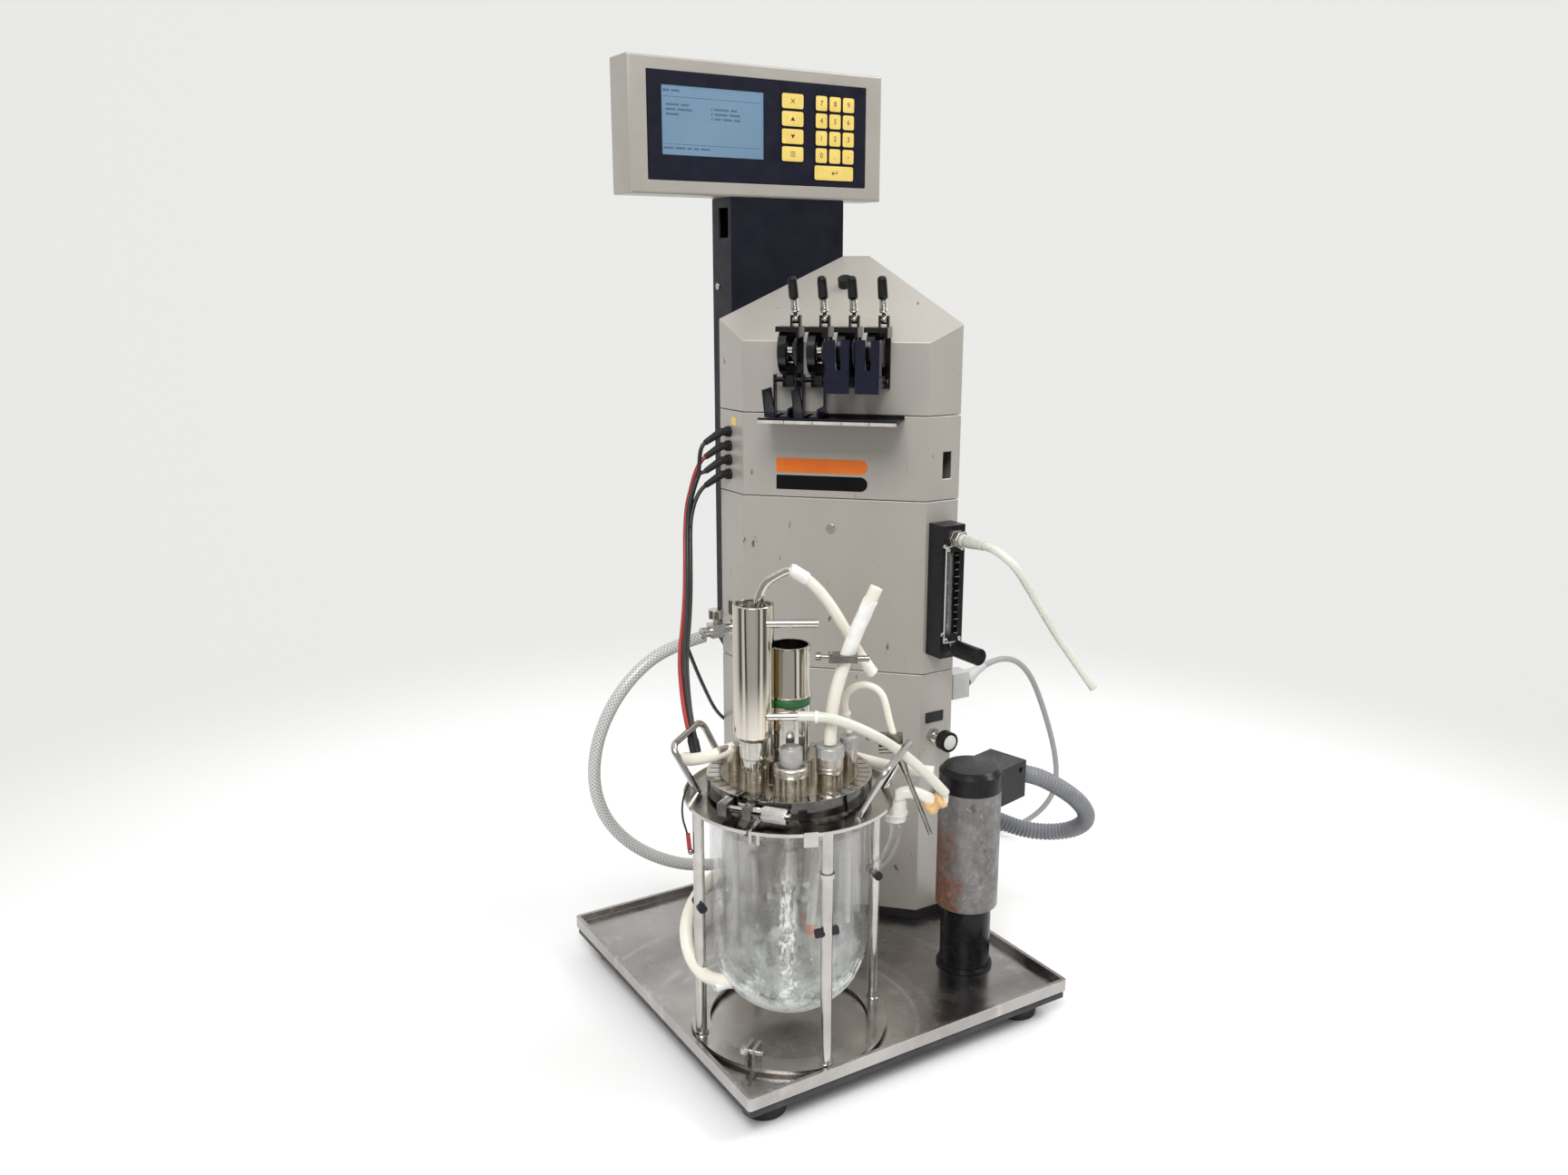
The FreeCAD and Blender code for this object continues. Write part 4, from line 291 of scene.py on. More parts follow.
def skin(name, points, faces, material, body="bioreactor", uv=None, smooth=True):
    """A piece from points and faces, riding on a body. uv gives each corner its place on the
    piece's own map from the numbers of the corners' points."""
    mesh = bpy.data.meshes.new(name)
    mesh.from_pydata(np.asarray(points).tolist(), [], faces if isinstance(faces, list) else faces.tolist())
    mesh.materials.append(material)
    if uv is not None:
        layer = mesh.uv_layers.new(name="along")
        corners = np.zeros(len(mesh.loops), dtype=np.int32)
        mesh.loops.foreach_get("vertex_index", corners)
        layer.data.foreach_set("uv", uv(corners).astype(np.float32).ravel())
    mesh.update()
    if smooth:
        mesh.shade_smooth()
    return placed(name, mesh, body)


def grid_faces(rows, columns, wrap_rows=False, wrap_columns=False):
    """Quads between neighbouring points of a rows by columns grid, closed where asked."""
    r = np.arange(rows if wrap_rows else rows - 1)[:, None]
    c = np.arange(columns if wrap_columns else columns - 1)[None, :]
    r_next, c_next = (r + 1) % rows, (c + 1) % columns
    corners = [row * columns + column for row, column in ((r, c), (r, c_next), (r_next, c_next), (r_next, c))]
    quads = np.stack(corners, -1)
    return quads.reshape(-1, 4)


def pad(centre, wide, high, crown, corner=2.2, steps=9, rings=6):
    """A crowned pad on a plane that faces -Y: rings of a rounded rectangle shrink towards its
    middle and rise by crown with the square root of the way in. All in millimetres."""
    t = np.linspace(0, 2 * np.pi, 4 * steps, endpoint=False)
    c, s = np.cos(t), np.sin(t)
    edge_x = (wide / 2 - corner) * np.sign(np.round(c, 6)) + corner * c
    edge_z = (high / 2 - corner) * np.sign(np.round(s, 6)) + corner * s
    way = np.linspace(0, 1, rings)[:, None]
    shrink = 1 - way
    x = centre[0] + edge_x[None, :] * shrink
    z = centre[2] + edge_z[None, :] * shrink
    y = centre[1] - crown * np.sqrt(way) + 0 * x
    points = metres(np.stack([x, y, z], -1).reshape(-1, 3))
    return points, grid_faces(rings, 4 * steps, wrap_columns=True)


def gathered(parts):
    """Several (points, faces) surfaces as one such pair."""
    points, faces, count = [], [], 0
    for piece_points, piece_faces in parts:
        points.append(piece_points)
        faces.extend((np.asarray(piece_faces) + count).tolist())
        count += len(piece_points)
    return np.concatenate(points), faces


key_film = finish("pale_yellow_key_film", (0.84, 0.63, 0.17), (0.76, 0.56, 0.14), (0.35, 0.5), 0.0, 60.0,
                  relief=0.05)
face_y = 357.6 - 0.95
mark_y = face_y - 0.36
key_rows = [868.4 - 16.85 * row for row in range(5)]
menu_keys = [(263.8, z, 26.5, label) for z, label in zip(key_rows, ("cross", "up", "down", "list"))]
number_keys = [(298.4 + 16.6 * column, z, 14.9, label)
               for z, labels in zip(key_rows, ("789", "456", "123", "0.-"))
               for column, label in enumerate(labels)]
all_keys = menu_keys + number_keys + [(314.2, key_rows[4], 48.9, "return")]
key_pads = [pad((x, face_y, z), wide - 1.0, 14.2, 0.35) for x, z, wide, _ in all_keys]
skin("key_pads", *gathered(key_pads), key_film)
key_ink = finish("dark_key_ink", (0.030, 0.024, 0.012), (0.05, 0.04, 0.02), (0.4, 0.5))


def as_mesh(name, curve):
    """The mesh that a curve makes, and its points."""
    holder = bpy.data.objects.new(name, curve)
    scene.collection.objects.link(holder)
    bpy.context.view_layer.update()
    mesh = bpy.data.meshes.new_from_object(holder)
    bpy.data.objects.remove(holder)
    points = np.zeros(len(mesh.vertices) * 3)
    mesh.vertices.foreach_get("co", points)
    return mesh, points.reshape(-1, 3)


def numeral(name, words, centre, high, material):
    """A numeral, point or minus sign, high millimetres tall, as a thin flat mesh that faces -Y,
    centred on a point in metres."""
    curve = bpy.data.curves.new(f"{name}_type", "FONT")
    curve.body = words
    curve.size = high / 1000
    curve.align_x = "CENTER"
    curve.align_y = "CENTER"
    curve.extrude = 0.00004
    mesh, flat = as_mesh(f"{name}_type", curve)
    stood = np.stack([flat[:, 0], -flat[:, 2], flat[:, 1]], -1) + centre
    mesh.vertices.foreach_set("co", stood.ravel())
    mesh.materials.clear()
    mesh.materials.append(material)
    mesh.update()
    placed(name, mesh)


lcd_ink = finish("lcd_segments", (0.045, 0.085, 0.15), (0.06, 0.10, 0.17), (0.3, 0.4))
glass_y = float(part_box("lcd_window")[0][1]) * 1000 + 200 - 0.05
dash_wide, dash_high, dash_pitch, word_gap = 1.25, 1.9, 1.75, 2.2
rows = [(119.5, 868.5, (4, 5)), (122.5, 856.0, (8, 5)), (122.5, 851.6, (6, 9)), (122.5, 847.2, (8,)),
        (171.5, 853.8, (1, 9, 4)), (171.5, 849.4, (1, 8, 7)), (171.5, 845.0, (1, 4, 6, 4)),
        (119.5, 816.5, (6, 6, 3, 3, 6))]
marks = []
for left, z, words in rows:
    for letters in words:
        for _ in range(letters):
            marks.append((left, z, dash_wide, dash_high))
            left += dash_pitch
        left += word_gap
marks += [(119.5, z, 108.0, 0.35) for z in (863.8, 820.8)]
strokes = np.array([at(x + side * wide, glass_y, z + up * high) for x, z, wide, high in marks
                    for side, up in ((0, 0), (1, 0), (1, 1), (0, 1))])
skin("lcd_rows", strokes, np.arange(len(strokes)).reshape(-1, 4), lcd_ink, smooth=False)

signs = {
    "up": [[(-2.6, -1.8), (2.6, -1.8), (0, 2.2)]],
    "down": [[(-2.6, 1.8), (0, -2.2), (2.6, 1.8)]],
    "list": [[(-3.0, low), (3.0, low), (3.0, high), (-3.0, high)]
             for low, high in ((-2.3, -1.6), (-0.35, 0.35), (1.6, 2.3))],
    "cross": [[(-2.4, -1.9), (-1.9, -2.4), (2.4, 1.9), (1.9, 2.4)],
              [(1.9, -2.4), (2.4, -1.9), (-1.9, 2.4), (-2.4, 1.9)]],
    "return": [[(-3.0, 0.0), (-0.6, -2.2), (-0.6, 2.2)],
               [(-0.6, -0.4), (4.0, -0.4), (4.0, 0.4), (-0.6, 0.4)],
               [(3.2, 0.4), (4.0, 0.4), (4.0, 2.6), (3.2, 2.6)]],
}
mark_names = {".": "point", "-": "minus"}
drawn = []
for x, z, wide, label in all_keys:
    for shape in signs.get(label, ()):
        corners = np.array([at(x + side, mark_y, z + up) for side, up in shape])
        drawn.append((corners, [tuple(range(len(shape)))]))
    if label not in signs:
        numeral(f"key_mark_{mark_names.get(label, label)}", label, at(x, mark_y, z), 7.0, key_ink)
skin("key_signs", *gathered(drawn), key_ink, smooth=False)


# --- Stripes and label plates ----------------------------------------------
# Two printed stripes on the band, and small bare plates of black or yellow
# plastic glued beside the knobs and hose fittings.
def on_face(side, out, z):
    """Millimetres from the tray's corner of a point by the sloping face: so far along it to the
    right, so far out of it, and its height."""
    root = math.sqrt(0.5)
    side, out = np.asarray(side, float), np.asarray(out, float)
    z = np.asarray(z, float) + 0 * side
    return np.stack([243.75 + (side - out) * root, 246.95 - (side + out) * root, z], -1)


def stripe(low, high, left=-58.5, right=34.0, out=0.12):
    """A flat stripe on the sloping face with rounded right-hand corners."""
    turn = np.linspace(-np.pi / 2, np.pi / 2, 13)
    round_by = (high - low) * 0.5
    side = np.concatenate([[left], right - round_by + round_by * np.cos(turn), [left]])
    z = np.concatenate([[low], (low + high) / 2 + round_by * np.sin(turn), [high]])
    return metres(on_face(side, out, z)), [tuple(range(len(side)))]


orange_ink = finish("orange_ink", (0.86, 0.19, 0.012), (0.80, 0.16, 0.010), (0.4, 0.5))
skin("orange_stripe", *stripe(507.0, 521.5), orange_ink, smooth=False)
black_ink = finish("black_ink", (0.003, 0.003, 0.003), (0.005, 0.005, 0.005), (0.45, 0.6), shine=0.12)
skin("black_stripe", *stripe(490.0, 504.5), black_ink, smooth=False)


def plate(corner, across, up, thick, out=(0, -1, 0)):
    """A thin plate: its lower corner, two edges and its outward direction, in millimetres."""
    corner, across, up, out = (np.asarray(v, float) for v in (corner, across, up, out))
    base = np.stack([corner, corner + across, corner + across + up, corner + up])
    points = np.concatenate([base, base + out * thick])
    faces = [(4, 5, 6, 7), (0, 1, 5, 4), (1, 2, 6, 5), (2, 3, 7, 6), (3, 0, 4, 7)]
    return metres(points), faces


label_plastic = finish("black_label_plastic", (0.012, 0.012, 0.013), (0.02, 0.02, 0.02), (0.25, 0.4),
                       shine=0.35)
for name, plate_sizes, material in (
    ("right_label", ((315.5, 181.2, 252), (22.4, 0, 0), (0, 0, 11), 0.8), label_plastic),
    ("left_label", ((178, 345, 351), (0, -20, 0), (0, 0, 14), 0.8, (-1, 0, 0)), label_plastic),
    ("corner_label", ((178, 336, 551), (0, -9, 0), (0, 0, 8), 0.3, (-1, 0, 0)), key_film),
):
    skin(name, *plate(*plate_sizes), material, smooth=False)


# --- Pump heads ------------------------------------------------------------
# Four tube pumps on the sloping face: black cast frames, bright rollers, and a
# latch lever each, with a coil spring under a plastic grip.
pump_black = finish("gloss_pump_enamel", (0.0025, 0.0025, 0.003), (0.005, 0.005, 0.006), (0.10, 0.26), 0.0,
                    80.0, relief=0.05, shine=0.45)
dressed("pump_frames", pump_black, 0.0006, 3)
bright = finish("polished_steel", (0.62, 0.60, 0.56), (0.52, 0.50, 0.46), (0.06, 0.12), 1.0, 260.0)
rotors = dressed("pump_rotors", bright, 0.0004)
rotors.data.materials.append(pump_black)
hub, rim = 0.0091, 0.0137
spin, middle = np.array((1, -1, 0)) / math.sqrt(2), metres(on_face(0, 17.0, 627.0))
for face in rotors.data.polygons:
    arm = np.array(face.center) - middle
    reach = np.linalg.norm(arm - (arm @ spin) * spin)
    on_roller = abs(np.array(face.normal) @ spin) < 0.3 and hub < reach < rim
    face.material_index = 0 if on_roller else 1
cover_paint = finish("navy_cover_paint", (0.0035, 0.0040, 0.016), (0.0055, 0.0062, 0.023), (0.20, 0.34), 0.0,
                     60.0, relief=0.06, shine=0.40)
dressed("pump_covers_open", cover_paint, 0.0005)
dressed("pump_covers_shut", cover_paint, 0.0005)
dressed("pump_gutter", finish("black_gutter_paint", (0.005, 0.005, 0.006), (0.010, 0.010, 0.011), (0.22, 0.4),
                              0.0, 60.0, shine=0.2), 0.0004)
# A thin strip along the gutter's front edge, painted pale so that it shows as the edge's bright highlight line.
root = math.sqrt(0.5)
gutter_edge = []
for side, long in ((-64.3, 25.4), (-38.3, 27.0), (-10.6, 27.4), (17.4, 25.6), (43.6, 25.7)):
    along_it = (long * root, -long * root, 0)
    gutter_edge.append(plate(on_face(side, 52.2, 561.3), along_it, (0, 0, 3.1), 0.25, (-1, -1, 0)))
edge_highlight_paint = finish("gutter_edge_painted_highlight", (0.66, 0.65, 0.61), (0.52, 0.50, 0.46), (0.25, 0.4), 0.25, 90.0)
skin("gutter_edge", *gathered(gutter_edge), edge_highlight_paint, smooth=False)
UPRIGHT = ((1, 0, 0), (0, 1, 0), (0, 0, 1))


def revolved(reach, height, turn, axis, centre, closed=False):
    """A surface from each point's radius, height and turn, in rings: the heights go along the
    third axis from the centre. A closed surface joins its last ring to its first."""
    local = np.stack([reach * np.cos(turn), reach * np.sin(turn), height + 0 * reach], -1)
    points = local.reshape(-1, 3) @ np.asarray(axis, float) + np.asarray(centre, float)
    return points, grid_faces(*reach.shape, closed, True)


def lathe(profile, sides=64, axis=UPRIGHT, centre=(0, 0, 0), closed=False):
    """A surface of revolution: each (radius, height) of the profile, in millimetres, turned
    about the third axis through the centre."""
    profile = np.asarray(profile, float) / 1000
    turn = np.linspace(0, 2 * np.pi, sides, endpoint=False)
    return revolved(profile[:, :1] + 0 * turn, profile[:, 1:2], turn, axis, centre, closed)


def turned(name, profile, material, centre, sides=32, axis=UPRIGHT, closed=False, body="bioreactor",
           smooth=True):
    """A surface of revolution as a piece."""
    return skin(name, *lathe(profile, sides, axis, centre, closed), material, body, smooth=smooth)


def helix(radius, wire, turns, low, high, axis, centre, steps=20, around=8):
    """A coil spring: a circle of the wire's radius carried along a helix, all in metres."""
    t = np.linspace(0, 2 * np.pi * turns, int(steps * turns))[:, None]
    a = np.linspace(0, 2 * np.pi, around, endpoint=False)[None, :]
    height = low + (high - low) * t / t[-1] + wire * np.sin(a)
    return revolved(radius + wire * np.cos(a) + 0 * t, height, t, axis, centre)


def frame_of(direction):
    """Three unit rows, the third along the direction."""
    third = np.asarray(direction, float) / np.linalg.norm(direction)
    first = np.cross((0.3, 0.2, 1.0) if abs(third[2]) < 0.9 else (1, 0, 0), third)
    first /= np.linalg.norm(first)
    return np.stack([first, np.cross(third, first), third])


grip_black = finish("black_grip_plastic", (0.004, 0.004, 0.0045), (0.009, 0.009, 0.009), (0.24, 0.40),
                    relief=0.05, shine=0.22)
lean = math.radians(25)
across = frame_of(on_face(1, 0, 0) - on_face(0, 0, 0))
lever_rod = [(0.0, -0.6), (1.9, -0.6), (1.9, 24), (0.0, 24)]
lever_collar = [(0.0, 8.5), (3.8, 8.5), (4.2, 9.0), (4.2, 10.5), (3.8, 11), (0.0, 11)]
lever_grip = [(0.0, 22.2), (4.0, 22.2), (4.7, 23.0), (4.7, 26.5), (4.4, 40.0), (4.1, 42.4), (3.0, 43.5),
              (0.0, 43.7)]
lever_eye = [(1.6, -2.6), (4.0, -2.6), (4.0, 2.6), (1.6, 2.6)]
pump_pitch, hinge_out, hinge_z = 28.5, 13.0, 657.5
for number in range(1, 5):
    side, body = pump_pitch * number - 64.2, f"lever_{number}"
    foot = metres(on_face(side, hinge_out, hinge_z))
    axis = frame_of(metres(on_face(side, hinge_out + math.sin(lean), hinge_z + math.cos(lean))) - foot)
    turned(f"lever_rod_{number}", lever_rod, bright, foot, 16, axis, body=body)
    skin(f"lever_spring_{number}", *helix(0.0032, 0.0005, 7, 0.011, 0.0225, axis, foot), bright, body)
    turned(f"lever_collar_{number}", lever_collar, bright, foot, 24, axis, body=body)
    made = turned(f"lever_grip_{number}", lever_grip, grip_black, foot, 32, axis, body=body)
    stands_for(f"pump_lever_{number}")
    turned(f"lever_eye_{number}", lever_eye, bright, foot, 32, across, True, body)


# --- Flow meter and valves -------------------------------------------------
# A black anodised block with a glass tube in its slot and a long knob below;
# under it a needle valve with a white dial, and on the left side a water tap.
meter_black = finish("black_anodised", (0.004, 0.004, 0.006), (0.009, 0.009, 0.012), (0.24, 0.42), 0.2, 50.0,
                     relief=0.08, shine=0.4)
dressed("flowmeter_body", meter_black, 0.0007)
forward = ((1, 0, 0), (0, 0, 1), (0, -1, 0))
screw_head = [(0.0, 1.5), (1.5, 1.5), (2.1, 1.1), (2.2, 0.0)]
screw_places = [(x, 157.2, z) for z in (346.0, 438.0) for x in (319.0, 335.6)]
screw_places += [(315.3, 158.0, 352.0), (315.3, 158.0, 441.5)]
screw_heads = [lathe(screw_head, 24, forward, at(*place)) for place in screw_places]
skin("meter_screws", *gathered(screw_heads), bright)
pane = finish("meter_pane", (0.62, 0.60, 0.56), (0.54, 0.52, 0.48), (0.03, 0.08), see_through=1.0)
pane.node_tree.nodes["Principled BSDF"].inputs["Alpha"].default_value = 0.22
skin("meter_window", *plate((317.0, 157.9, 343.5), (20.6, 0, 0), (0, 0, 97.0), 1.1), pane, smooth=False)
edge_white = finish("polished_plate_edge", (0.78, 0.78, 0.75), (0.66, 0.66, 0.63), (0.2, 0.3), 0.0, 200.0)
pane_edges = ((343.2, 0.55, 97.6), (440.4, 21.3, 0.5), (343.0, 21.3, 0.4))
skin("meter_window_edges", *gathered([plate((316.6, 157.9, z), (wide, 0, 0), (0, 0, high), 1.3)
                                      for z, wide, high in pane_edges]), edge_white, smooth=False)
fitting_clear = finish("pale_fitting_plastic", (0.60, 0.60, 0.55), (0.50, 0.50, 0.45), (0.18, 0.32), 0.0, 90.0,
                       coat=0.3)
scale_marks = [plate((328.4, 156.75, 352.0 + 7.2 * step), (long, 0, 0), (0, 0, 0.28), 0.05)
               for step, long in enumerate((5.4, 3.6) * 6)]
skin("meter_scale", *gathered(scale_marks), fitting_clear, smooth=False)
outlet = at(326.3, 158.1, 449)
meter_union = [(4.6, 0.0), (8.6, 0.0), (8.9, 0.5), (8.9, 5.0), (8.5, 5.6), (7.2, 5.7), (7.2, 7.0), (8.5, 7.1),
               (8.9, 7.7), (8.9, 12.8), (8.4, 13.4), (4.6, 13.4)]
meter_sleeve = [(4.6, 13.2), (6.4, 13.2), (6.4, 16.4), (5.4, 16.8), (5.4, 20.0), (6.2, 20.3), (6.3, 22.0),
                (6.3, 27.0), (5.9, 31.0), (5.0, 41.0), (4.6, 45.0), (4.2, 45.2)]
knob_neck = [(4.55, 0.0), (4.75, 0.2), (4.75, 8.6), (4.55, 8.8)]
turned("meter_union", meter_union, screw_steel, outlet, 6, forward, True, smooth=False)
turned("meter_sleeve", meter_sleeve, fitting_clear, outlet, axis=forward)
turned("meter_knob_neck", knob_neck, bright, at(326.3, 158.1, 338.5), axis=forward, closed=True)
clear_glass = finish("meter_glass", (0.90, 0.92, 0.90), (0.84, 0.86, 0.83), (0.03, 0.08), see_through=0.9)
dressed("flowmeter_tube", clear_glass, 0.0)
dressed("flowmeter_float", bright, 0.0002)
dressed("flowmeter_knob", grip_black, 0.0012, 3)
dressed("needle_knob", grip_black, 0.0008, 3)
dressed("tower_fittings", screw_steel, 0.0005)
dial_white = finish("white_dial_face", (0.80, 0.80, 0.78), (0.72, 0.72, 0.70), (0.3, 0.4), 0.0, 60.0)
dial_x, dial_y, dial_z = 324.8, 162.9, 238.5
turned("needle_dial_face", [(0.0, 11.25), (7.2, 11.25), (7.6, 11.1), (7.8, 10.6)], dial_white,
       at(dial_x, dial_y, dial_z), 48, forward, body="needle_dial")
turn = np.arange(12)[:, None] * np.pi / 6
reach, half = np.array([(5.2, -0.16), (6.6, -0.16), (6.6, 0.16), (5.2, 0.16)]).T
tick_x = dial_x + reach * np.sin(turn) + half * np.cos(turn)
tick_z = dial_z + reach * np.cos(turn) - half * np.sin(turn)
ticks = metres(np.stack([tick_x, dial_y - 11.30 + 0 * tick_x, tick_z], -1).reshape(-1, 3))
tick_faces = np.arange(len(ticks)).reshape(-1, 4)[:, ::-1]
skin("needle_dial_ticks", ticks, tick_faces, key_ink, "needle_dial", smooth=False)
dressed("tap_knob", bright, 0.0012, 3)
dressed("cable_plugs", seal_rubber, 0.0008)


# --- Vessel stand ----------------------------------------------------------
# Welded stainless: a split ring in the tray, four polished legs, a top plate
# with its own split, clamp bolts, and two bent handles.
stand_steel = finish("satin_stand_steel", (0.54, 0.525, 0.50), (0.42, 0.40, 0.375), (0.10, 0.24), 1.0, 30.0,
                     relief=0.03, relief_grain=400.0)
dressed("vessel_stand", stand_steel, 0.0005)
dressed("leg_bumpers", seal_rubber, 0.0012, 3)


# --- Glass vessel ----------------------------------------------------------
# Borosilicate glass, blown in two walls with a water jacket between them, a side
# arm and a lower nipple; hard water has left scale low down and in streaks.
def scaled_glass(name, middle, across):
    """Clear glass, clouded white where lime has dried: the lime is thick where a noise plus
    the nearness of the bottom is high, and in a speckled streak beside the shaft, where the
    distance from the middle along across is small. It drives colour, clearness and alpha."""
    material, tree, sockets = plain(name)

    def noise(size, detail, stretch):
        return clouds(tree, own_place(tree, stretch), size, detail, 0.7)

    def along(direction, *span):
        """A dot product with a direction, measured from the middle, over a span."""
        reach = vector(tree, "DOT_PRODUCT", measured_from(tree, middle), direction)
        return spanned(tree, reach, *span)

    up = (0, 0, 1)
    low_down = along(up, 0.052, 0.128, 0.40, 0.0)
    lumps = reckoned(tree, "ADD", noise(42.0, 9.0, (1, 1, 0.7)), low_down)
    crust = spanned(tree, lumps, 0.63, 0.76, 0.0, 0.90)
    aside = reckoned(tree, "ABSOLUTE", along(across, -1.0, 1.0, -1.0, 1.0))
    beside = spanned(tree, aside, 0.004, 0.011, 1.0, 0.0)
    tall = reckoned(tree, "MULTIPLY", along(up, 0.060, 0.085, 0.0, 1.0), along(up, 0.19, 0.225, 1.0, 0.0))
    speckles = spanned(tree, noise(260.0, 4.0, (1, 1, 0.5)), 0.52, 0.60, 0.0, 0.55)
    streak = reckoned(tree, "MULTIPLY", reckoned(tree, "MULTIPLY", beside, tall), speckles)
    film = spanned(tree, noise(18.0, 5.0, (1, 1, 0.25)), 0.50, 0.85, 0.0, 0.06)
    lime = reckoned(tree, "MAXIMUM", reckoned(tree, "MAXIMUM", crust, streak), film)
    values = {
        "IOR": 1.35,
        "Base Color": mixed(tree, lime, (0.975, 0.992, 0.982, 1), (0.83, 0.86, 0.84, 1)),
        "Transmission Weight": spanned(tree, lime, 0.0, 0.6, 1.0, 0.0),
        "Roughness": spanned(tree, lime, 0.0, 0.6, 0.02, 0.55),
        "Alpha": spanned(tree, lime, 0.0, 0.8, 0.22, 0.90),
    }
    feed_all(tree, sockets, values)
    return material


vessel_axis = at(95.5, 95, 0)
dressed("glass_vessel", scaled_glass("limed_glass", vessel_axis, (0.852, -0.524, 0.0)), 0.0, smooth=40)
probe_foot, probe_way = at(101.8, 67.5, 131), frame_of((0.0721, -0.0424, 0.9965))
probe_white = finish("white_probe_sleeve", (0.80, 0.80, 0.77), (0.70, 0.69, 0.65), (0.3, 0.5), 0.0, 60.0)
probe_sleeve = [(0, 9), (4.0, 9), (4.3, 9.6), (4.3, 126), (4.0, 126.6), (0, 126.6)]
turned("probe_sleeve", probe_sleeve, probe_white, probe_foot, axis=probe_way)
tip_orange = finish("orange_probe_tip", (0.80, 0.21, 0.030), (0.66, 0.15, 0.020), (0.3, 0.45), 0.0, 90.0)
probe_tip = [(0, -1.5), (2.4, -1.2), (4.2, 0.8), (4.5, 2.5), (4.5, 8.6), (3.9, 9.2), (0, 9.2)]
turned("probe_tip", probe_tip, tip_orange, probe_foot, axis=probe_way)


# --- Lid, clamp band and ports ---------------------------------------------
# A turned stainless lid with welded bosses, held by a slit V-band with a thumb
# nut; knurled nuts and plugs close the ports.
lid_steel = finish("stained_lid_steel", (0.62, 0.58, 0.51), (0.50, 0.45, 0.37), (0.12, 0.28), 1.0, 40.0,
                   relief=0.03, spots=[((0.34, 0.26, 0.16), 46.0, 0.64, 0.78)])
dressed("head_plate", lid_steel, 0.0006)
band = dressed("clamp_band", bright, 0.0004)
# The band's upright sides take a dark steel colour that is a painted dark reflection; the slit faces take a
# near-black that is painted shadow.
band_side_painted_reflection = finish("band_side_painted_dark_reflection", (0.13, 0.125, 0.12), (0.08, 0.078, 0.075), (0.08, 0.16), 1.0, 120.0)
slit_dark = finish("slit_shadow", (0.010, 0.010, 0.010), (0.016, 0.015, 0.014), (0.5, 0.7))
band.data.materials.append(band_side_painted_reflection)
band.data.materials.append(slit_dark)
# Faces across the slits get the painted slit shadow, upright faces get the painted dark reflection, and the
# rest stay bright.
for face in band.data.polygons:
    outward = np.array(face.center[:2]) - vessel_axis[:2]
    outward /= np.linalg.norm(outward)
    around = abs(face.normal[1] * outward[0] - face.normal[0] * outward[1])
    if around > 0.8:
        face.material_index = 2
    elif abs(face.normal[2]) < 0.5:
        face.material_index = 1
dressed("clamp_nut", bright, 0.0006)
fitting_steel = finish("turned_fitting_steel", (0.62, 0.59, 0.55), (0.50, 0.465, 0.41), (0.26, 0.40), 1.0,
                       110.0, spots=[((0.40, 0.33, 0.24), 60.0, 0.68, 0.80)])
dressed("port_fittings", fitting_steel, 0.0005)


def knurled(profile, centre, teeth, deep, axis=UPRIGHT):
    """A surface of revolution with teeth: where a row of the profile (radius, height, cut) has
    cut 1, its radius swings by deep with the cosine of the turn times the teeth."""
    profile = np.asarray(profile, float) / (1000, 1000, 1)
    turn = np.linspace(0, 2 * np.pi, teeth * 6, endpoint=False)
    reach = profile[:, :1] + profile[:, 2:] * deep / 1000 * np.cos(teeth * turn)[None]
    return revolved(reach, profile[:, 1:2], turn, axis, centre)


def cap_profile(radius, low, high, bore):
    """A toothed cap between two heights with soft shoulders and a hole of the bore's radius."""
    return [(bore, low, 0), (radius - 0.8, low, 0), (radius, low + 0.6, 0), (radius, low + 0.9, 1),
            (radius, high - 1.6, 1), (radius, high - 1.2, 0), (radius - 0.9, high, 0), (bore, high + 0.05, 0)]


plug_axis, sample_axis, thin_axis, condenser_axis = (at(*place, 0) for place in (
    (81.1, 65.1), (115.4, 57.7), (145.5, 72.7), (61.4, 94.1)))
caps = [(plug_axis, 9.45, 295.3, 311.3, 0.0, 52), (sample_axis, 12.2, 298.0, 308.4, 3.4, 60),
        (thin_axis, 8.2, 294.0, 306.7, 2.2, 44), (condenser_axis, 11.4, 296.5, 309.5, 8.0, 56)]
cap_metal = finish("satin_cap_metal", (0.60, 0.60, 0.595), (0.50, 0.50, 0.495), (0.34, 0.46), 0.9, 200.0)
skin("knurled_caps", *gathered([knurled(cap_profile(radius, low, high, bore), axis, teeth, 0.22)
                                for axis, radius, low, high, bore, teeth in caps]), cap_metal)
nut_middle = np.array(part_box("clamp_nut")).mean(0)
nut_way = frame_of((0.601815, -0.798636, 0))
nut_profile = [(3.2, -10.6, 0), (5.6, -10.6, 0), (6.3, -9.9, 0), (6.35, -9.4, 1), (6.35, 9.4, 1), (6.3, 9.9, 0),
               (5.4, 10.7, 0), (0.4, 10.8, 0)]
skin("thumb_nut_knurl", *knurled(nut_profile, nut_middle, 34, 0.18, nut_way), cap_metal, "thumb_nut")
collars = [
    (plug_axis, [(9.0, 287.2), (15.3, 287.2), (15.5, 287.6), (15.5, 292.4), (15.0, 294.8), (9.0, 295.0)]),
    (sample_axis, [(8.0, 284.4), (11.6, 284.4), (11.6, 290.4), (10.4, 291.0), (8.0, 291.0)]),
    (condenser_axis, [(8.1, 309.4), (9.6, 309.8), (9.6, 313.0), (8.1, 313.4)]),
]
collar_parts = [lathe(profile, centre=axis, closed=True) for axis, profile in collars]
skin("port_collars", *gathered(collar_parts), fitting_steel)


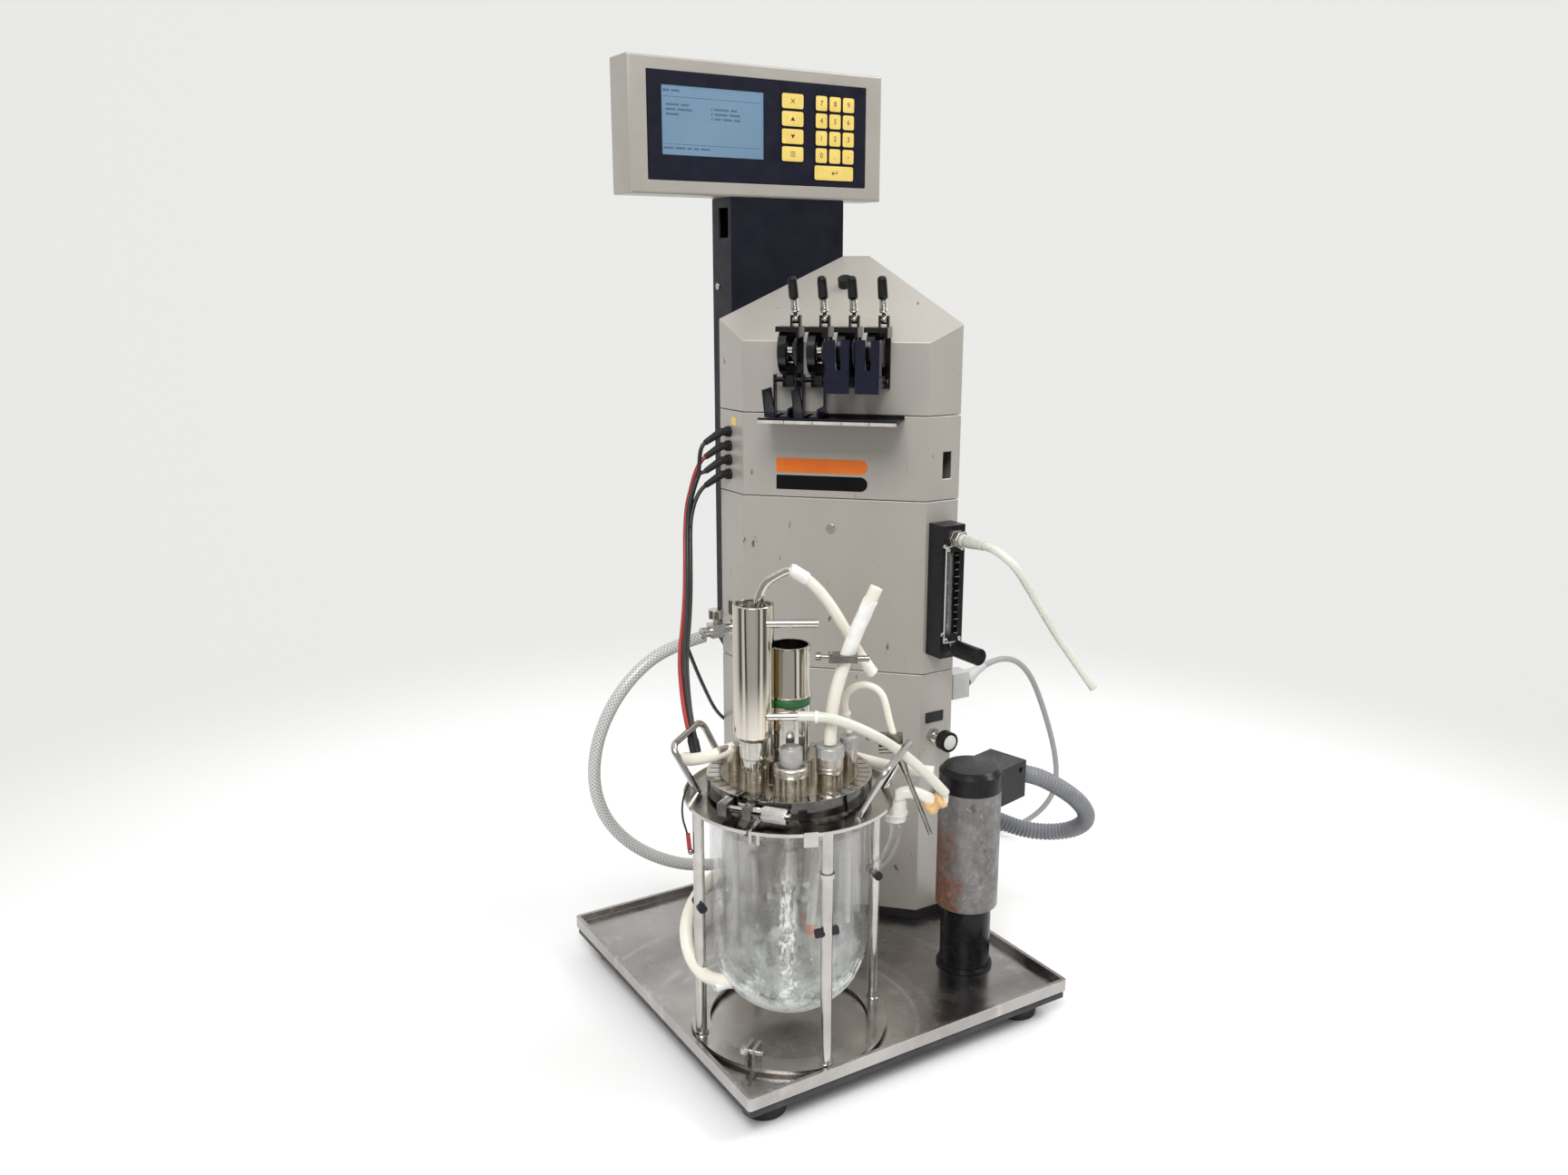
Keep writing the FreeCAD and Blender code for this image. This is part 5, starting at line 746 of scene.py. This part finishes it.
# --- Condenser and stirrer drive -------------------------------------------
# Two polished tubes on the lid: the exhaust cooler with its nipples and bent
# outlet, and the open bearing housing of the stirrer, whose shaft goes down.
tube_steel = finish("drawn_tube_steel", (0.74, 0.70, 0.64), (0.58, 0.53, 0.45), (0.06, 0.13), 1.0, 80.0,
                    (1, 1, 0.02), spots=[((0.56, 0.40, 0.15), 46.0, 0.52, 0.62)])
dressed("condenser", bright, 0.0006, 3)
condenser_tube = [(17.25, 317.6), (17.40, 317.7), (17.46, 318.3), (17.46, 431.6), (17.3, 432.5), (15.0, 432.55),
                  (14.8, 431.6), (14.8, 430.0), (17.2, 430.0)]
turned("condenser_tube", condenser_tube, tube_steel, condenser_axis, 128, closed=True)
dressed("drive_housing", bright, 0.0006, 3)
green_tape = finish("green_tape", (0.030, 0.16, 0.045), (0.022, 0.12, 0.035), (0.35, 0.5), 0.0, 80.0,
                    relief=0.1)
drive_tube = [(17.76, 291.6), (17.92, 291.8), (17.92, 339.4), (17.76, 339.6)]
drive_sleeve = [(17.80, 391.9), (18.10, 391.7), (18.16, 391.0), (18.16, 352.0), (18.7, 349.5), (19.0, 347.2),
                (18.8, 347.0), (17.80, 347.2)]
drive_band = [(17.76, 339.4), (18.05, 339.5), (18.05, 347.3), (17.76, 347.4)]
turned("drive_tube", drive_tube, tube_steel, shaft_axis, 128, closed=True)
turned("drive_sleeve", drive_sleeve, tube_steel, shaft_axis, 128, closed=True)
turned("drive_band", drive_band, green_tape, shaft_axis, 96, closed=True)
dressed("stirrer", finish("stirrer_steel", (0.55, 0.53, 0.50), (0.36, 0.34, 0.31), (0.2, 0.4), 1.0,
                          160.0), 0.0003)


# --- Stirrer motor ---------------------------------------------------------
# A geared motor parked in its black socket: a zinc can with rust, a gloss black
# cap and a terminal box, which its conduit enters.
motor_zinc = finish("rusted_zinc", (0.245, 0.24, 0.235), (0.15, 0.148, 0.145), (0.36, 0.58), 0.55, 60.0,
                    (1, 1, 0.8), relief=0.2, relief_grain=700.0,
                    spots=[((0.33, 0.325, 0.315), 190.0, 0.56, 0.72), ((0.075, 0.065, 0.06), 70.0, 0.60, 0.78),
                           ((0.20, 0.055, 0.03), 150.0, 0.675, 0.70)])


def rust(material, middle, lean, start, end):
    """Rust over a finish: noise plus a slope along lean, measured from the middle, runs from
    nothing at start to full at end; it takes the metal's shine away."""
    tree = material.node_tree
    sockets = tree.nodes["Principled BSDF"].inputs
    slope = vector(tree, "DOT_PRODUCT", measured_from(tree, middle), lean)
    total = reckoned(tree, "ADD", slope, clouds(tree, own_place(tree), 38.0, 9.0, 0.7))
    amount = spanned(tree, total, start, end, 0.0, 0.92)
    browns = [(0.35, (0.085, 0.040, 0.025)), (0.65, (0.25, 0.085, 0.040))]
    brown = ramped(tree, clouds(tree, own_place(tree), 210.0), browns)
    bare = sockets["Base Color"].links[0].from_socket
    feed(tree, sockets["Base Color"], mixed(tree, amount, bare, brown))
    feed(tree, sockets["Metallic"], spanned(tree, amount, 0.0, 0.9, 0.6, 0.0))


rust(motor_zinc, at(298, 87, 122), (-13.0, 6.0, -2.4), 0.64, 0.84)
dressed("motor_can", motor_zinc, 0.0006)
cap_black = finish("gloss_black_moulding", (0.0035, 0.0035, 0.005), (0.008, 0.008, 0.010), (0.14, 0.32), 0.0,
                   60.0, relief=0.04, shine=0.22, spots=[((0.035, 0.035, 0.038), 24.0, 0.62, 0.80)])
dressed("motor_cap", cap_black, 0.0012, 3)
dressed("motor_socket", cap_black, 0.0008, 3)
dressed("motor_coupling", seal_rubber, 0.0006)


# --- Connectors and clamps -------------------------------------------------
# The side arm's screw cap and bent connector, the hose clamps with the sampling
# needle, and the mains connector and plug.
connector_plastic = finish("cream_connector", (0.80, 0.74, 0.62), (0.70, 0.62, 0.48), (0.3, 0.45), 0.0, 70.0)
dressed("vessel_connectors", connector_plastic, 0.0005)
clamp_steel = finish("dull_clamp_steel", (0.34, 0.325, 0.30), (0.22, 0.205, 0.185), (0.12, 0.26), 1.0, 90.0)
dressed("hose_clamps", clamp_steel, 0.0004)
across_clamp = frame_of((0.848, -0.530, 0.0))
clamp_screw = [(0.0, -9.5), (2.9, -9.5), (3.3, -9.0), (3.3, -5.2), (2.9, -4.8), (1.5, -4.8), (1.5, 1.5),
               (0.0, 1.5)]
clamp_jaw = [(0.0, 2.0), (4.6, 2.0), (5.0, 2.6), (5.0, 4.6), (4.4, 5.2), (0.0, 5.2)]
clamp_parts = [lathe(np.array(profile) * scale, sides, across_clamp, place)
               for place, scale in ((at(112.5, 59.6, 387.3), 1.0), (at(157.5, 51.5, 309.3), 0.8))
               for profile, sides in ((clamp_screw, 20), (clamp_jaw, 6))]
skin("clamp_screws", *gathered(clamp_parts), clamp_steel, smooth=False)
plug_plastic = finish("pale_grey_plug", (0.56, 0.56, 0.55), (0.50, 0.50, 0.49), (0.4, 0.55), 0.0, 50.0,
                      relief=0.08)
dressed("mains_plugs", plug_plastic, 0.0035, 4)
mains_neck = [(8.6, -5.0), (8.4, 0.0), (6.6, 6.0), (5.0, 12.0), (4.6, 20.0), (4.1, 24.0), (3.3, 24.4)]
turned("mains_neck", mains_neck, plug_plastic, at(394.5, 209.9, 281.4), axis=frame_of((16.0, 1.0, 6.0)))


# --- Hoses and cables ------------------------------------------------------
# Silicone and vinyl hoses, a braided water hose, a ribbed conduit and rubber
# cables, each hung along one smooth line from its fitting.
def gone_along(line):
    """How far each point of a line is from its start, along the line."""
    return np.concatenate([[0], np.cumsum(np.linalg.norm(np.diff(line, axis=0), axis=1))])


def laid(name, route):
    """The line of a hose: points read back along one smooth spline through the route."""
    curve = bpy.data.curves.new(f"{name}_line", "CURVE")
    curve.dimensions = "3D"
    curve.resolution_u = 12
    spline = curve.splines.new("NURBS")
    points = np.array([[*at(*point), 1.0] for point in route])
    spline.points.add(len(points) - 1)
    spline.points.foreach_set("co", points.ravel())
    spline.order_u = 3
    spline.use_endpoint_u = True
    _, line = as_mesh(f"{name}_line", curve)
    gone = gone_along(line)
    keep = np.concatenate([[True], np.diff(gone) > 1e-7])
    return line[keep], gone[keep]


def evenly(line, gone, step):
    """The same line with points a step apart."""
    count = max(int(gone[-1] / step), 8)
    way = np.linspace(0, gone[-1], count)
    return np.stack([np.interp(way, gone, line[:, i]) for i in range(3)], -1), way


def frames_along(line):
    """Two unit directions square to the line at each of its points, carried along with least twist."""
    along = np.gradient(line, axis=0)
    along /= np.linalg.norm(along, axis=1, keepdims=True)
    first = np.empty_like(line)
    start = np.cross(along[0], (0.0, 0.0, 1.0) if abs(along[0][2]) < 0.9 else (1.0, 0.0, 0.0))
    first[0] = start / np.linalg.norm(start)
    for i in range(1, len(line)):
        carried = first[i - 1] - along[i] * np.dot(first[i - 1], along[i])
        first[i] = carried / np.linalg.norm(carried)
    return along, first, np.cross(along, first)


def tube_skin(line, radius, sides=20, bore=0.0):
    """Circles of the given radius along a line, with open ends that turn into a short bore,
    or closed ends where bore is 0. Gives points, faces and the line's point at each circle."""
    _, first, second = frames_along(line)
    turn = np.linspace(0, 2 * np.pi, sides, endpoint=False)[None, :, None]
    last = len(line) - 1
    deep = 3 if bore else 0
    order = np.concatenate([np.arange(deep, -1, -1), np.arange(last + 1), np.arange(last, last - 1 - deep, -1)])
    end = np.full(deep + 1, bore)
    size = np.concatenate([end, np.broadcast_to(radius, (len(line),)), end])
    ring = first[order][:, None] * np.cos(turn) + second[order][:, None] * np.sin(turn)
    points = line[order][:, None] + ring * size[:, None, None]
    return points.reshape(-1, 3), grid_faces(len(order), sides, False, True), order


def round_cord(name, route, radius, material, step=0.003, sides=12, bore=0.0):
    """A plain round tube along a route."""
    line, _ = evenly(*laid(name, route), step)
    skin(name, *tube_skin(line, radius, sides, bore)[:2], material)


silicone = finish("cream_silicone", (0.82, 0.79, 0.70), (0.75, 0.71, 0.60), (0.30, 0.45), 0.0, 30.0,
                  relief=0.03, spots=[((0.70, 0.63, 0.49), 60.0, 0.62, 0.80)])
clear_vinyl = finish("clear_vinyl", (0.83, 0.83, 0.75), (0.76, 0.76, 0.67), (0.14, 0.26), 0.0, 30.0,
                     see_through=0.22)
conduit_grey = finish("grey_conduit", (0.215, 0.22, 0.24), (0.165, 0.17, 0.185), (0.32, 0.5), 0.0, 30.0)
cord_grey = finish("grey_cord", (0.34, 0.34, 0.335), (0.30, 0.30, 0.295), (0.4, 0.5), 0.0, 30.0)


def braided(name):
    """Clear vinyl over crossing threads: two families of slanting lines on the hose's own map."""
    material, tree, sockets = plain(name)
    place = grown(tree, "UVMap", {}, uv_map="along")
    threads = [reckoned(tree, "PINGPONG", vector(tree, "DOT_PRODUCT", place, (slant, 9.0, 0.0)), 0.5)
               for slant in (250.0, -250.0)]
    nearest = reckoned(tree, "MINIMUM", *threads)
    colour = ramped(tree, nearest, [(0.10, (0.66, 0.66, 0.64)), (0.20, (0.30, 0.31, 0.30))])
    feed_all(tree, sockets, {"Roughness": 0.3, "Coat Weight": 0.4, "Base Color": colour})
    return material


def hose(name, route, wide, material, bore=0.55, step=1.5,
         sides=20, rib=0.0, rib_pitch=1.0):
    """A hose or cable: circles along its line, ribbed where rib is set, shown in place of the solid of that
    name.
    """
    line, gone = laid(name, route)
    line, way = evenly(line, gone, step / 1000)
    radius = wide / 2000 * (1 + rib * np.sin(2 * np.pi * way / (rib_pitch / 1000)))
    points, faces, order = tube_skin(line, radius, sides, wide / 2000 * bore)
    along = np.repeat(gone_along(line)[order], sides)
    turn = np.tile(np.arange(sides) / sides, len(order))

    def uv(corners):
        """Metres along and turns around; the last column of faces goes on to a whole turn."""
        round_at = turn[corners].reshape(-1, 4)
        round_at[(round_at.max(1) - round_at.min(1) > 0.5)[:, None] & (round_at < 0.5)] += 1.0
        return np.stack([along[corners], round_at.ravel()], -1)

    piece = skin(f"{name}_skin", points, faces, material, uv=uv)
    stands_for(name)


condenser_route = [
    (87.5, 77.8, 462.5), (99.3, 72.1, 454.3), (109.8, 68.4, 443.4), (119, 66.3, 431.1), (127.4, 65, 418.1),
    (135.3, 64, 404.8), (143, 62.9, 391.3), (150.9, 61, 378.1), (159.2, 57.8, 365.4),
]
hose("condenser_hose", condenser_route, 9.4, silicone)
cooling_route = [
    (87, 65.3, 337), (101.8, 56.6, 337), (115, 48, 334.3), (128, 41.5, 328.6), (142, 36.2, 320.6),
    (156.5, 30.8, 310.8), (170.7, 26.2, 298.9), (184.8, 22.3, 285.5), (198.5, 19.8, 271.3),
    (211.2, 18.5, 256.8),
]
hose("cooling_hose", cooling_route, 9.0, clear_vinyl)
sample_route = [
    (115.4, 57.7, 309), (116, 58.6, 326), (118.4, 57.8, 348), (124.3, 52.4, 379), (132.5, 46.3, 408),
    (140.5, 42.3, 429), (148, 39, 447),
]
hose("sample_hose", sample_route, 11.0, silicone)
thin_route = [
    (145.5, 72.7, 309), (144.3, 73.6, 321.5), (141.9, 76.4, 336), (144.5, 74, 346.9), (151.3, 67.7, 353.7),
    (159.7, 59.9, 353.7), (166.5, 53.6, 346.9), (169.1, 51.2, 336), (170.6, 48.2, 322.7), (172, 43.5, 311),
    (173.9, 39.2, 299.6), (175.3, 36.2, 289.5),
]
hose("thin_hose", thin_route, 6.2, silicone)


def wrap(name, route, start, end, radius, material, torn=0.0, folds=5, sides=32):
    """A sleeve on a hose between two ways along its line, in millimetres: circles that swell and
    shrink with a few folds, and a torn far edge that reaches on by a sum of sines of the turn."""
    line, way = evenly(*laid(name, route), 0.0006)
    part = line[(way >= start / 1000) & (way <= end / 1000)]
    points, faces, _ = tube_skin(part, radius / 1000, sides, radius / 1000 * 0.86)
    grid = points.reshape(-1, sides, 3)
    turn = np.linspace(0, 2 * np.pi, sides, endpoint=False)
    middle = grid.mean(1, keepdims=True)
    ring = np.arange(len(grid))[:, None]
    swell = 1 + 0.020 * np.sin(folds * turn + ring * 0.09) + 0.014 * np.sin(3 * turn - ring * 0.23)
    grid = middle + (grid - middle) * swell[..., None]
    ahead = part[-1] - part[-2]
    ahead /= np.linalg.norm(ahead)
    edge = torn / 1000 * (np.sin(2 * turn + 0.6) + 0.6 * np.sin(5 * turn) + 0.3 * np.sin(11 * turn + 1))
    last = np.clip((ring - (len(grid) - 16)) / 12, 0, 1)
    grid = grid + (last * edge)[..., None] * ahead
    skin(name, grid.reshape(-1, 3), faces, material)


arm_white = finish("white_connector_plastic", (0.82, 0.81, 0.77), (0.74, 0.72, 0.66), (0.25, 0.42), 0.0, 90.0)
arm_socket = [(6.3, 230.2), (9.4, 230.2), (9.8, 230.8), (9.8, 235.6), (11.2, 236.2), (11.2, 239.0),
              (9.8, 239.6), (9.6, 247.4), (8.4, 249.4), (5.2, 250.2), (5.2, 236.0), (6.3, 236.0)]
turned("arm_socket", arm_socket, arm_white, at(177, 45, 0), 48, closed=True)
elbow_route = [(177, 45, 243), (177.4, 44.6, 253), (186, 38.5, 257.5), (197, 30.5, 253.5), (205.4, 24.2, 247.6)]
round_cord("arm_elbow", elbow_route, 0.0056, arm_white, 0.001, 28, 0.004)
fitting_cream = finish("amber_fitting", (0.80, 0.56, 0.30), (0.66, 0.38, 0.15), (0.28, 0.42), 0.0, 120.0)
amber_fitting = [(4.0, -9.0), (7.4, -9.0), (8.2, -8.0), (8.2, -3.0), (6.6, -2.2), (6.6, 3.0), (7.8, 3.8),
                 (7.8, 7.0), (6.6, 7.8), (4.8, 8.2)]
turned("amber_fitting", amber_fitting, fitting_cream, at(205.5, 24.4, 247.4), 40, frame_of((8.0, -7.2, 7.6)))
white_wrap = finish("white_torn_wrap", (0.86, 0.85, 0.82), (0.78, 0.76, 0.72), (0.5, 0.7), 0.0, 120.0,
                    relief=0.3, relief_grain=500.0)
wrap("sample_wrap", sample_route, 76, 131, 6.2, white_wrap, torn=2.4)
wrap("condenser_wrap", condenser_route, 1.5, 17, 5.5, white_wrap, torn=0.8)
wrap("condenser_end_wrap", condenser_route, 112, 124.5, 5.1, white_wrap, torn=0.5)
wrap("cooling_tie", cooling_route, 14, 18, 5.3, white_wrap, folds=2)
wrap("thin_tie", thin_route, 16, 19.5, 4.0, white_wrap, folds=2)
hose("braided_hose", [
    (144.1, 339.1, 332), (101.7, 340, 326.2), (64.3, 339.6, 305.3), (35.9, 339.8, 273.2), (19.4, 341.6, 233.7),
    (16.4, 344, 191), (29.2, 345.7, 150.2), (55.5, 345.7, 116.4), (90.1, 343.9, 90.9), (129.5, 340.6, 74.2),
    (171.8, 337.6, 68),
], 13.0, braided("braided_vinyl"), sides=32)
hose("jacket_hose", [
    (39.7, 98, 86), (21.1, 101.4, 91), (9.3, 109.8, 104.2), (6.9, 121.2, 120.2), (12.9, 133.9, 134.2),
    (25.2, 146.3, 143.4), (40.5, 158.1, 148.3), (56.8, 169.4, 149.4), (72.7, 181.1, 146.7),
], 12.0, silicone)
hose("vent_hose", [
    (58, 122, 297), (42, 126.3, 291.7), (30.3, 138, 286.3), (26, 154, 281), (30.3, 170, 275.7),
    (42, 181.7, 270.3), (58, 186, 265), (76, 186.5, 264.5), (96, 186, 264.2), (118, 182.5, 264.2),
    (138, 174, 264.2), (156, 160, 264.2), (170, 142, 264.2), (180, 121, 264.3), (187, 99, 264.8),
    (195, 77, 265.4), (206, 58, 265.8), (219, 45, 266),
], 11.0, silicone)
hose("meter_hose", [
    (326.3, 117, 449), (326.8, 107, 449), (329.6, 94.8, 445.4), (334.2, 84.8, 438.5), (340.1, 78.1, 429.1),
    (362.4, 74.6, 396), (384.7, 71.1, 363), (395.9, 64.2, 344.8), (407.2, 57.3, 326.4), (417.8, 50.8, 308.9),
], 8.0, clear_vinyl)
hose("motor_conduit", [
    (356, 100.6, 219), (383, 94, 213), (411, 86, 197), (438, 80, 176), (457, 84, 152), (460, 102, 132),
    (446, 124, 122), (422, 142, 124), (396, 156, 136), (370, 167, 152), (349, 176, 166), (331, 184, 172),
], 17.0, conduit_grey, step=0.6, sides=24, rib=0.06, rib_pitch=4.2)
hose("mains_cord", [
    (396, 210, 282), (412, 211, 288), (436, 217, 291), (466, 228, 286), (496, 240, 272), (524, 251, 248),
    (549, 261, 214), (571, 268, 175), (590, 275, 137), (604, 283, 101), (611, 294, 68), (605, 311, 38),
    (588, 334, 14), (562, 360, 4.4), (530, 388, 4.2), (494, 413, 4.2), (455, 434, 4.2), (413, 450, 4.2),
    (370, 462, 4.2), (326, 468, 4.2),
], 6.6, cord_grey, sides=14)

cable_line, cable_way = laid("probe_cables", [
    (142, 340, 503), (131.5, 339, 483), (125, 333, 452), (117, 317.5, 418), (104.8, 295, 391), (88.5, 268, 369),
    (70.5, 240.5, 348), (57, 212.5, 325), (46.5, 185, 301), (41, 160.5, 277),
])
cable_line, even_way = evenly(cable_line, cable_way, 0.002)
cable_along, cable_first, cable_second = frames_along(cable_line)
red_rubber = finish("red_cable_rubber", (0.38, 0.030, 0.024), (0.30, 0.024, 0.020), (0.35, 0.5), 0.0, 30.0)
cable_rubber = finish("black_cable_rubber", (0.012, 0.012, 0.013), (0.02, 0.02, 0.02), (0.35, 0.5), 0.0, 30.0)
strands, plug_ends, tails = [], [], []
leftward = np.array((-0.851, 0.525, 0.0))
red_side = np.arctan2(cable_second @ leftward, cable_first @ leftward)
red, longest, strand_radius = 1, 2, 0.0021
plug_top, plug_pitch = 534.3, 14.5
leaving = np.array((-0.883, 0, -0.469))
t = np.linspace(0, 1, 24)[:, None]
for number in range(4):
    angle = np.pi / 2 * (number - red) + red_side + 0.5 * np.sin(even_way * 14.0)
    apart = 0.0022 + (0.0026 * np.sin(np.pi * even_way / even_way[-1]) if number == red else 0)
    sideways = np.cos(angle)[:, None] * cable_first + np.sin(angle)[:, None] * cable_second
    strand = cable_line + np.reshape(apart, (-1, 1)) * sideways
    plug_low = plug_top - plug_pitch * number
    joins_at = plug_low - 34 - 2 * number
    joins = 0 if number == longest else int(np.argmin(np.abs(cable_line[:, 2] * 1000 - joins_at)))
    strands.append(tube_skin(strand[joins:], strand_radius, 12)[:2])
    begin, end = at(149.8, 340, plug_low + 0.1), strand[joins]
    reach = 0.9 * np.linalg.norm(end - begin)
    leave, arrive = leaving * reach, cable_along[joins] * reach
    tail = ((2 * t**3 - 3 * t**2 + 1) * begin + (t**3 - 2 * t**2 + t) * leave + (3 * t**2 - 2 * t**3) * end
            + (t**3 - t**2) * arrive)
    tails.append(tube_skin(tail, strand_radius, 12)[:2])
    grip = np.interp(np.arange(13), (0, 2, 3, 8, 9, 12), (0.0022, 0.0024, 0.0031, 0.0031, 0.0027, 0.0027))
    plug_ends.append(tube_skin(strand[-13:], grip, 14)[:2])
skin("probe_tail_red", *tails.pop(red), red_rubber)
skin("probe_tails_black", *gathered(tails), cable_rubber)
lead_route = [(79, 254, 357), (99, 276, 326), (125, 305, 290), (153, 337, 254), (174, 359, 233),
              (187, 367, 222), (196, 367, 216), (200, 361.5, 214)]
round_cord("back_lead", lead_route, 0.0019, cable_rubber)
wire_route = [(7.5, 112.3, 277), (3.8, 114.3, 268), (1.9, 115.5, 255), (2.5, 115, 243), (5.2, 112, 232),
              (6.4, 111, 216)]
round_cord("earth_wire", wire_route, 0.0009, cable_rubber, 0.0015, 10)
sleeve_way = frame_of((1.0, -0.8, -16.0))
earth_sleeve = [(1.0, 0.0), (1.9, 0.3), (1.9, 14.6), (1.2, 15.0)]
earth_stud = [(0, -2.6), (1.6, -2.2), (2.5, -0.8), (2.5, 0.8), (1.6, 2.2), (0, 2.6)]
turned("earth_sleeve", earth_sleeve, red_rubber, at(5.4, 111.8, 232), 20, sleeve_way)
turned("earth_stud", earth_stud, clamp_steel, at(7.0, 110.6, 215), 20, sleeve_way)
probe_plugs = skin("probe_plugs", *gathered(plug_ends), seal_rubber)
cables = skin("probe_cables_skin", *gathered(strands), cable_rubber)
cables.data.materials.append(red_rubber)
paint_index = np.repeat([0, 1, 0, 0], [len(faces) for _, faces in strands])
cables.data.polygons.foreach_set("material_index", paint_index)
stands_for("probe_cables")


# --- Floor, light and camera -----------------------------------------------
# A pale bench in a room of light and dark bands under two soft lamps, seen from
# in front and to the left.
def floor_paint():
    """Plain pale paint that thins out to nothing between 0.65 and 1.4 metres from the middle, so
    that the backdrop's own shade is under the horizon as well."""
    material, tree, sockets = plain("pale_bench")
    away = vector(tree, "LENGTH", own_place(tree))
    fade = spanned(tree, away, 0.65, 1.4, 1.0, 0.0, interpolation_type="SMOOTHSTEP")
    feed_all(tree, sockets, {"Base Color": (0.86, 0.86, 0.86, 1), "Roughness": 0.55, "Specular IOR Level": 0.3,
                             "Alpha": fade})
    return material


bench = bpy.data.meshes.new("bench")
bench.from_pydata([(-2.1, -2.1, 0), (2.1, -2.1, 0), (2.1, 2.1, 0), (-2.1, 2.1, 0)], [], [(0, 1, 2, 3)])
bench.materials.append(floor_paint())
floor = bpy.data.objects.new("bench", bench)
scene.collection.objects.link(floor)

world = bpy.data.worlds.new("studio")
scene.world = world
world.use_nodes = True
air = world.node_tree
sky = air.nodes["Background"].inputs
room_turn = (0, 0, math.radians(37.0))
view_way = grown(air, "TexCoord", {}, "Generated")
looked_at = grown(air, "Mapping", {"Vector": view_way, "Rotation": room_turn})
sideways, upward = (grown(air, "SeparateXYZ", {"Vector": looked_at}, letter) for letter in "YZ")
tones = ((0.075, 0.44), (0.090, 0.06), (0.130, 0.05), (0.150, 0.82), (0.235, 0.86), (0.262, 0.14),
         (0.385, 0.11), (0.480, 0.66), (0.70, 0.80))
room = ramped(air, spanned(air, sideways, -1.0, 1.0, 0.0, 1.0), [
    (0.0, (0.46, 0.46, 0.455)), *((position, (tone, tone * 0.995, tone * 0.98)) for position, tone in tones),
    (1.0, (0.83, 0.83, 0.82))])
overhead = spanned(air, upward, 0.45, 0.75, 0.0, 1.0)
feed_all(air, sky, {"Strength": 1.0, "Color": mixed(air, overhead, room, (0.92, 0.92, 0.92, 1))})


def lamp(name, place, aim, size, power):
    """A square soft lamp that points from one place at another."""
    light = bpy.data.lights.new(name, "AREA")
    light.size = size
    light.energy = power
    holder = bpy.data.objects.new(name, light)
    holder.location = place
    way = np.asarray(aim, float) - np.asarray(place, float)
    flat = math.hypot(way[0], way[1])
    holder.rotation_euler = (math.atan2(flat, -way[2]), 0, math.atan2(-way[0], way[1]))
    scene.collection.objects.link(holder)


lamp("ceiling_left", (-1.6, -2.0, 3.0), (0, 0, 0.4), 1.6, 92)
lamp("ceiling_right", (2.0, -1.0, 2.8), (0, 0, 0.4), 1.4, 40)

lens = bpy.data.cameras.new("camera")
lens.sensor_width = 36
lens.lens = 29.24
camera = bpy.data.objects.new("camera", lens)
camera.location = (-0.64368, -0.99474, 0.698)
camera.rotation_euler = (math.radians(90 - 13.753), 0, math.radians(-31.645))
scene.collection.objects.link(camera)
scene.camera = camera
scene.view_settings.view_transform = "Standard"
